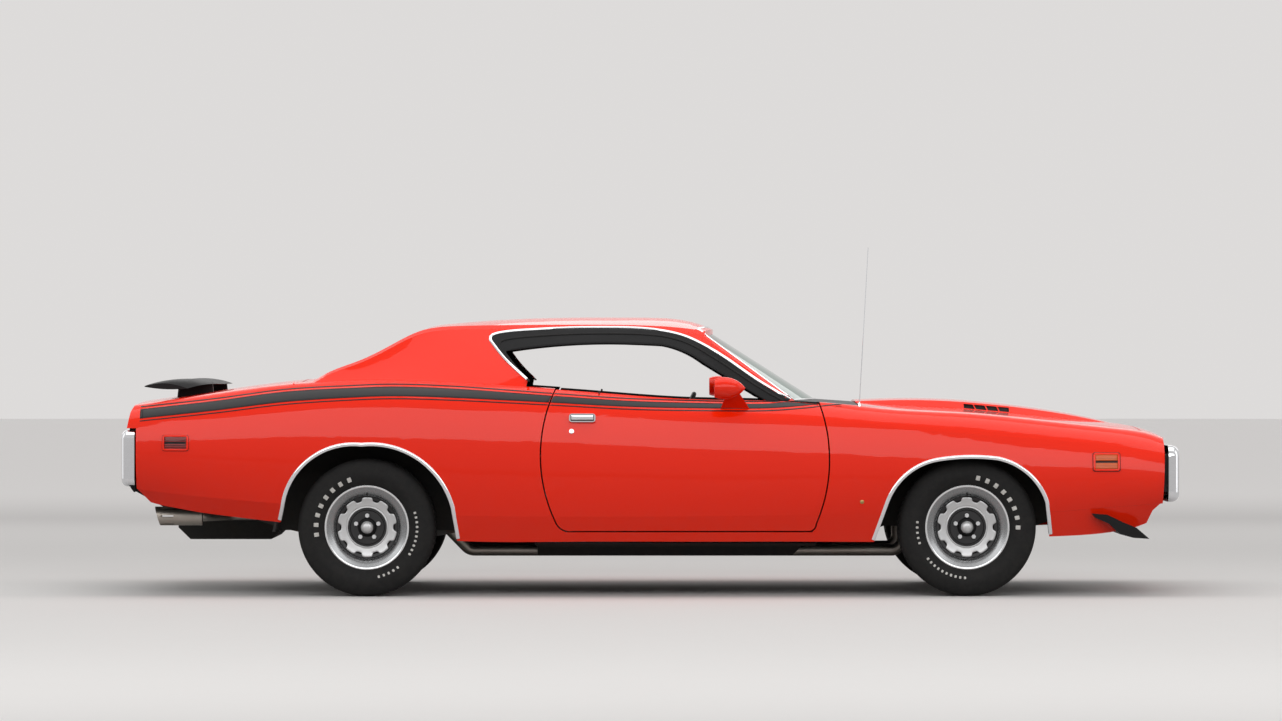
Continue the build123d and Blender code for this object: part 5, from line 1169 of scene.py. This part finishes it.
class CAR_OT_wheel_trim(bpy.types.Operator):
    """Slotted discs, polished trim rings, hub caps and valves"""
    bl_idname = "car.wheel_trim"
    bl_label = "Wheel trim"

    def execute(self, context):
        for label, spot, sign in corner_places():
            matrix = outboard_matrix(spot, sign)
            body = f"wheel_{label}"
            with shape(f"slotted_disc_{label}", "disc_silver", body, sharp=30, thick=0.0018) as bm:
                self.disc(bm)
                bmesh.ops.transform(bm, matrix=matrix, verts=bm.verts)
            for name, look, sharp, turned in (("trim_ring", "ring_steel", 50, ((RING, 96),)),
                                              ("wheel_cap", "disc_silver", 40, ((CAP_BEAD, 72), (CAP, 48))),
                                              ("wheel_centre", "satin_black", 40,
                                               ((CENTRE_BEAD, 72), (CENTRE, 48)))):
                with shape(f"{name}_{label}", look, body, sharp=sharp) as bm:
                    for profile, steps in turned:
                        lathe(bm, profile, matrix, steps)
            with shape(f"valve_{label}", "rubber", body, sharp=40) as bm:
                lathe(bm, [(0, 26), (2.8, 26), (3.4, 18), (4.2, 17), (4.8, 0), (0, 0)],
                      matrix @ Matrix.Translation((0, 0.158, 0.066)), 16)
        return {"FINISHED"}

    def disc(self, bm):
        """A ring with rounded notches round its outer edge, dished like the wheel behind it."""
        wave = [(-turn, rim) for turn, rim in NOTCH[:0:-1]] + NOTCH + [(18.0, 145.4)]
        outline = [(360 / NOTCHES * slot + turn, rim) for slot in range(NOTCHES) for turn, rim in wave]
        columns = len(outline)

        def place(u, v):
            turn, rim = outline[round(u * columns) % columns]
            radius = DISC_INNER + (rim - DISC_INNER) * v
            rise = 50.0 + 6.0 * min(max((radius - 96) / 32, 0), 1) + 6.0 * max(radius - 128, 0) / 20
            height = rise + 2.1 - 1.6 * max(v - 0.8, 0) * 5 * (rim < 143)
            return Vector((cos(radians(turn)) * radius, sin(radians(turn)) * radius, height)) * MM
        sheet(bm, place, columns, 6)
        close_up(bm)
        if sum(face.normal.z for face in bm.faces) < 0:
            bmesh.ops.reverse_faces(bm, faces=bm.faces)


# ---- Seats and cabin ----
def tilted(spot, degrees):
    """A matrix that leans a shape about Y at a spot."""
    return Matrix.Translation(spot) @ Matrix.Rotation(radians(degrees), 4, "Y")


def rising(value, steep):
    """0 below 0, then up to 1 at 1 / steep."""
    return min(1.0, max(0.0, value * steep))


# Size, pleats, X, Y, Z, tilt and taper of a right-hand pad
FRONT_CUSHION = ((0.500, 0.494, 0.135), 7, 0.130, 0.440, 0.425, -6, 0.0)
FRONT_BACK = ((0.560, 0.486, 0.110), 8, -0.240, 0.440, 0.665, -69.5, 0.22)
REAR_CUSHION = ((0.410, 0.420, 0.130), 6, -0.690, 0.368, 0.405, -6, 0.0)
REAR_BACK = ((0.460, 0.520, 0.120), 6, -1.040, 0.318, 0.690, -66, 0.0)


class CAR_OT_seats(bpy.types.Operator):
    """Padded, pleated seats on their bases"""
    bl_idname = "car.seats"
    bl_label = "Seats"

    def execute(self, context):
        cushion = self.row("seat", FRONT_CUSHION, FRONT_BACK)
        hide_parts("front_seats")
        with shape("seat_bases", "moulded_plastic", mirrored=True) as bm:
            block(bm, (0.420, 0.400, 0.090), Matrix.Translation((0.110, -0.440, 0.315)), 0.03, 0.006)
            for y in (-0.60, -0.28):
                block(bm, (0.460, 0.030, 0.016), Matrix.Translation((0.110, y, 0.263)), 0, 0.003)
        cushion = self.row("rear", REAR_CUSHION, REAR_BACK)
        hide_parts("rear_seat")
        return {"FINISHED"}

    def row(self, name, cushion, back):
        """Two cushions and two backs; returns the right cushion."""
        cushions = []
        for side, label in ((-1, "right"), (1, "left")):
            cushions.append(self.pad(f"{name}_cushion_{label}", side, *cushion))
            self.pad(f"{name}_back_{label}", side, *back)
        return cushions[0]

    def pad(self, name, side, size, pleats, x, y, z, tilt, taper):
        """A crowned cushion with sewn channels on its face and a piped rim."""
        bm = bmesh.new()
        bmesh.ops.create_cube(bm, size=2.0)
        bmesh.ops.subdivide_edges(bm, edges=bm.edges[:], cuts=31, use_grid_fill=True)
        power = 5.0
        for vertex in bm.verts:
            u, v, w = vertex.co
            round_off = max(abs(u), abs(v), abs(w)) / max(
                (abs(u) ** power + abs(v) ** power + abs(w) ** power) ** (1 / power), 1e-9)
            u, v, w = u * round_off, v * round_off, w * round_off
            crown = (1 - u * u) * (1 - v * v)
            height = w * 0.5 * size[2]
            if w > 0:
                inner = rising(0.80 - abs(v), 14) * rising(0.90 - abs(u), 14)
                channel = abs(sin(pi * (u + 1) / 2 * pleats)) ** 0.5
                height += crown * 0.014 - (1 - channel) * 0.010 * inner
                height -= 0.006 * max(0.0, 1 - abs(abs(v) - 0.80) * 22) * rising(0.94 - abs(u), 14)
            waist = 1 - 0.03 * (1 - abs(w)) - taper * max(0.0, u - 0.45) ** 1.5
            vertex.co = (u * size[0] / 2 * (1 - 0.015 * (1 - abs(w))), v * size[1] / 2 * waist, height)
        bmesh.ops.transform(bm, matrix=tilted((x, side * y, z), tilt), verts=bm.verts)
        made = piece(name, bm, "vinyl", "chassis", 60)
        return made


class CAR_OT_cabin(bpy.types.Operator):
    """Dials, inner mirror, gear lever and pedals"""
    bl_idname = "car.cabin"
    bl_label = "Cabin"

    def execute(self, context):
        dash = Surface("dashboard")
        dials = [(radius, facing(*reversed(dash.hit((-0.5, y, 0.835), (1, 0, 0)))))
                 for y, radius in ((0.200, 30), (0.300, 52), (0.430, 52), (0.530, 30))]
        with shape("dial_faces", "dial_face") as bm:
            for radius, matrix in dials:
                lathe(bm, [(0, 2), (radius, 2), (radius, -4), (0, -4)], matrix, 36)
        with shape("dial_rims", "chrome_plate") as bm:
            for radius, matrix in dials:
                lathe(bm, [(radius, 3), (radius + 2, 7), (radius + 6, 5), (radius + 7, -3), (radius, -3),
                           (radius, 3)], matrix, 36)
        with shape("inner_mirror", "moulded_plastic") as bm:
            block(bm, (0.205, 0.060, 0.018), facing((-1, 0, -0.15), (0.315, 0, 1.215)), 0.014, 0.005)
            lathe(bm, [(0, 36), (5, 36), (6, 0), (0, 0)], tilted((0.322, 0, 1.222), 8), 12)
        with shape("gear_lever", "vinyl") as bm:
            lathe(bm, [(0, 205), (18, 200), (24, 186), (18, 170), (8, 164), (6, 20), (30, 12), (60, 0),
                       (60, -12), (0, -12)], tilted((0.260, 0, 0.437), -12), 28)
        with shape("pedals", "rubber") as bm:
            for y, wide in ((0.250, 0.050), (0.340, 0.090), (0.470, 0.075)):
                block(bm, (0.075, wide, 0.010), tilted((0.735, y, 0.420), 52), 0.008, 0.003)
                block(bm, (0.016, 0.010, 0.240), tilted((0.770, y, 0.520), -12), 0, 0.002)
        return {"FINISHED"}


# ---- Stage ----
# Name, place, aim, size and power in watts
LAMPS = (
    ("overhead", (0.0, -0.4, 6.4), (0, 0, 0.4), (11.0, 5.0), 260),
    ("near_side", (0.0, -10.0, 5.6), (0, 0, 0.6), (26.0, 4.4), 840),
    ("front_end", (11.0, -1.5, 4.4), (1, 0, 0.7), (5.0, 9.0), 130),
    ("rear_end", (-11.0, 1.5, 4.4), (-1, 0, 0.7), (5.0, 9.0), 90),
    ("far_side", (0.0, 10.0, 5.2), (0, 0, 0.7), (22.0, 4.0), 240),
)
SKY_LIGHT, SKY_SHOWN = 0.40, 0.78


class CAR_OT_stage(bpy.types.Operator):
    """Camera, floor, lamps and pale surroundings"""
    bl_idname = "car.stage"
    bl_label = "Stage"

    def execute(self, context):
        scene = context.scene
        camera = bpy.data.cameras.new("camera")
        camera.lens = 152.0
        camera.clip_end = 300
        scene.camera = self.placed("camera", camera, (-0.0486, -27.2, 1.147), (pi / 2, 0, 0))
        scene.view_settings.view_transform = "Standard"
        for name, spot, aim, size, power in LAMPS:
            lamp = bpy.data.lights.new(name, "AREA")
            lamp.shape = "RECTANGLE"
            lamp.size, lamp.size_y = size
            lamp.energy = power
            self.placed(name, lamp, spot, (Vector(aim) - Vector(spot)).to_track_quat("-Z", "Y").to_euler())
        self.floor()
        self.sky(scene)
        return {"FINISHED"}

    def placed(self, name, data, spot=(0, 0, 0), turn=(0, 0, 0)):
        made = bpy.data.objects.new(name, data)
        made.location = spot
        made.rotation_euler = turn
        bpy.context.scene.collection.objects.link(made)
        return made

    def floor(self):
        """A pale floor that shines back less than it shows, and glows far out."""
        bm = bmesh.new()
        bmesh.ops.create_circle(bm, cap_ends=True, segments=96, radius=80)
        mesh = bpy.data.meshes.new("floor")
        bm.to_mesh(mesh)
        bm.free()
        look = Finish("floor_pale")
        seen = look.node("ShaderNodeLightPath", out="Is Diffuse Ray")
        pale = look.mix(look.noise(3, 4) * 0.3, (0.66, 0.65, 0.64), (0.63, 0.62, 0.61))
        glow = look.mix(reach(look.x, look.y).over(12, 9), (0, 0, 0), (0.34, 0.333, 0.33))
        look.shade(Base_Color=look.mix(seen, pale, (0.22, 0.21, 0.20)), Roughness=0.9, Specular_IOR_Level=0.1,
                   Emission_Color=look.mix(seen, glow, (0, 0, 0)), Emission_Strength=1.0)
        mesh.materials.append(look.material)
        floor = self.placed("floor", mesh)

    def sky(self, scene):
        """Surroundings that look paler than the light they give."""
        world = bpy.data.worlds.new("surroundings")
        scene.world = world
        world.use_nodes = True
        sky = Nodes(world.node_tree)
        camera, glossy, through = (sky.node("ShaderNodeLightPath", out=f"Is {ray} Ray")
                                   for ray in ("Camera", "Glossy", "Transmission"))
        shown = camera.most(glossy).most(through)
        sockets = sky.tree.nodes["Background"].inputs
        sky.feed(sockets["Strength"], sky.node("ShaderNodeMapRange", {}, shown, 0, 1, SKY_LIGHT, SKY_SHOWN))
        sky.feed(sockets["Color"], (0.93, 0.91, 0.90))


# ---- Panel and registration ----
OPERATORS = (CAR_OT_stage, CAR_OT_panels, CAR_OT_stripe, CAR_OT_window_trim, CAR_OT_arch_lips,
             CAR_OT_door_trim, CAR_OT_front_end, CAR_OT_rear_end, CAR_OT_markers, CAR_OT_tyres,
             CAR_OT_wheel_trim, CAR_OT_seats, CAR_OT_cabin)


class CAR_PT_dressing(bpy.types.Panel):
    """Settings and steps of the car's dressing"""
    bl_idname = "CAR_PT_dressing"
    bl_label = "Car dressing"
    bl_space_type = "VIEW_3D"
    bl_region_type = "UI"
    bl_category = "Car"

    def draw(self, context):
        for group in (context.scene.car_colours, context.scene.car_sizes):
            box = self.layout.box()
            for name in group.__annotations__:
                box.prop(group, name)
        for operator in OPERATORS:
            self.layout.operator(operator.bl_idname)


CLASSES = (CarColours, CarSizes, *OPERATORS, CAR_PT_dressing)


def register():
    for made in CLASSES:
        bpy.utils.register_class(made)
    bpy.types.Scene.car_colours = PointerProperty(type=CarColours)
    bpy.types.Scene.car_sizes = PointerProperty(type=CarSizes)


def unregister():
    del bpy.types.Scene.car_sizes
    del bpy.types.Scene.car_colours
    for made in reversed(CLASSES):
        bpy.utils.unregister_class(made)


def main():
    register()
    for operator in OPERATORS:
        group, name = operator.bl_idname.split(".")
        getattr(getattr(bpy.ops, group), name)()


if __name__ == "__main__":
    main()
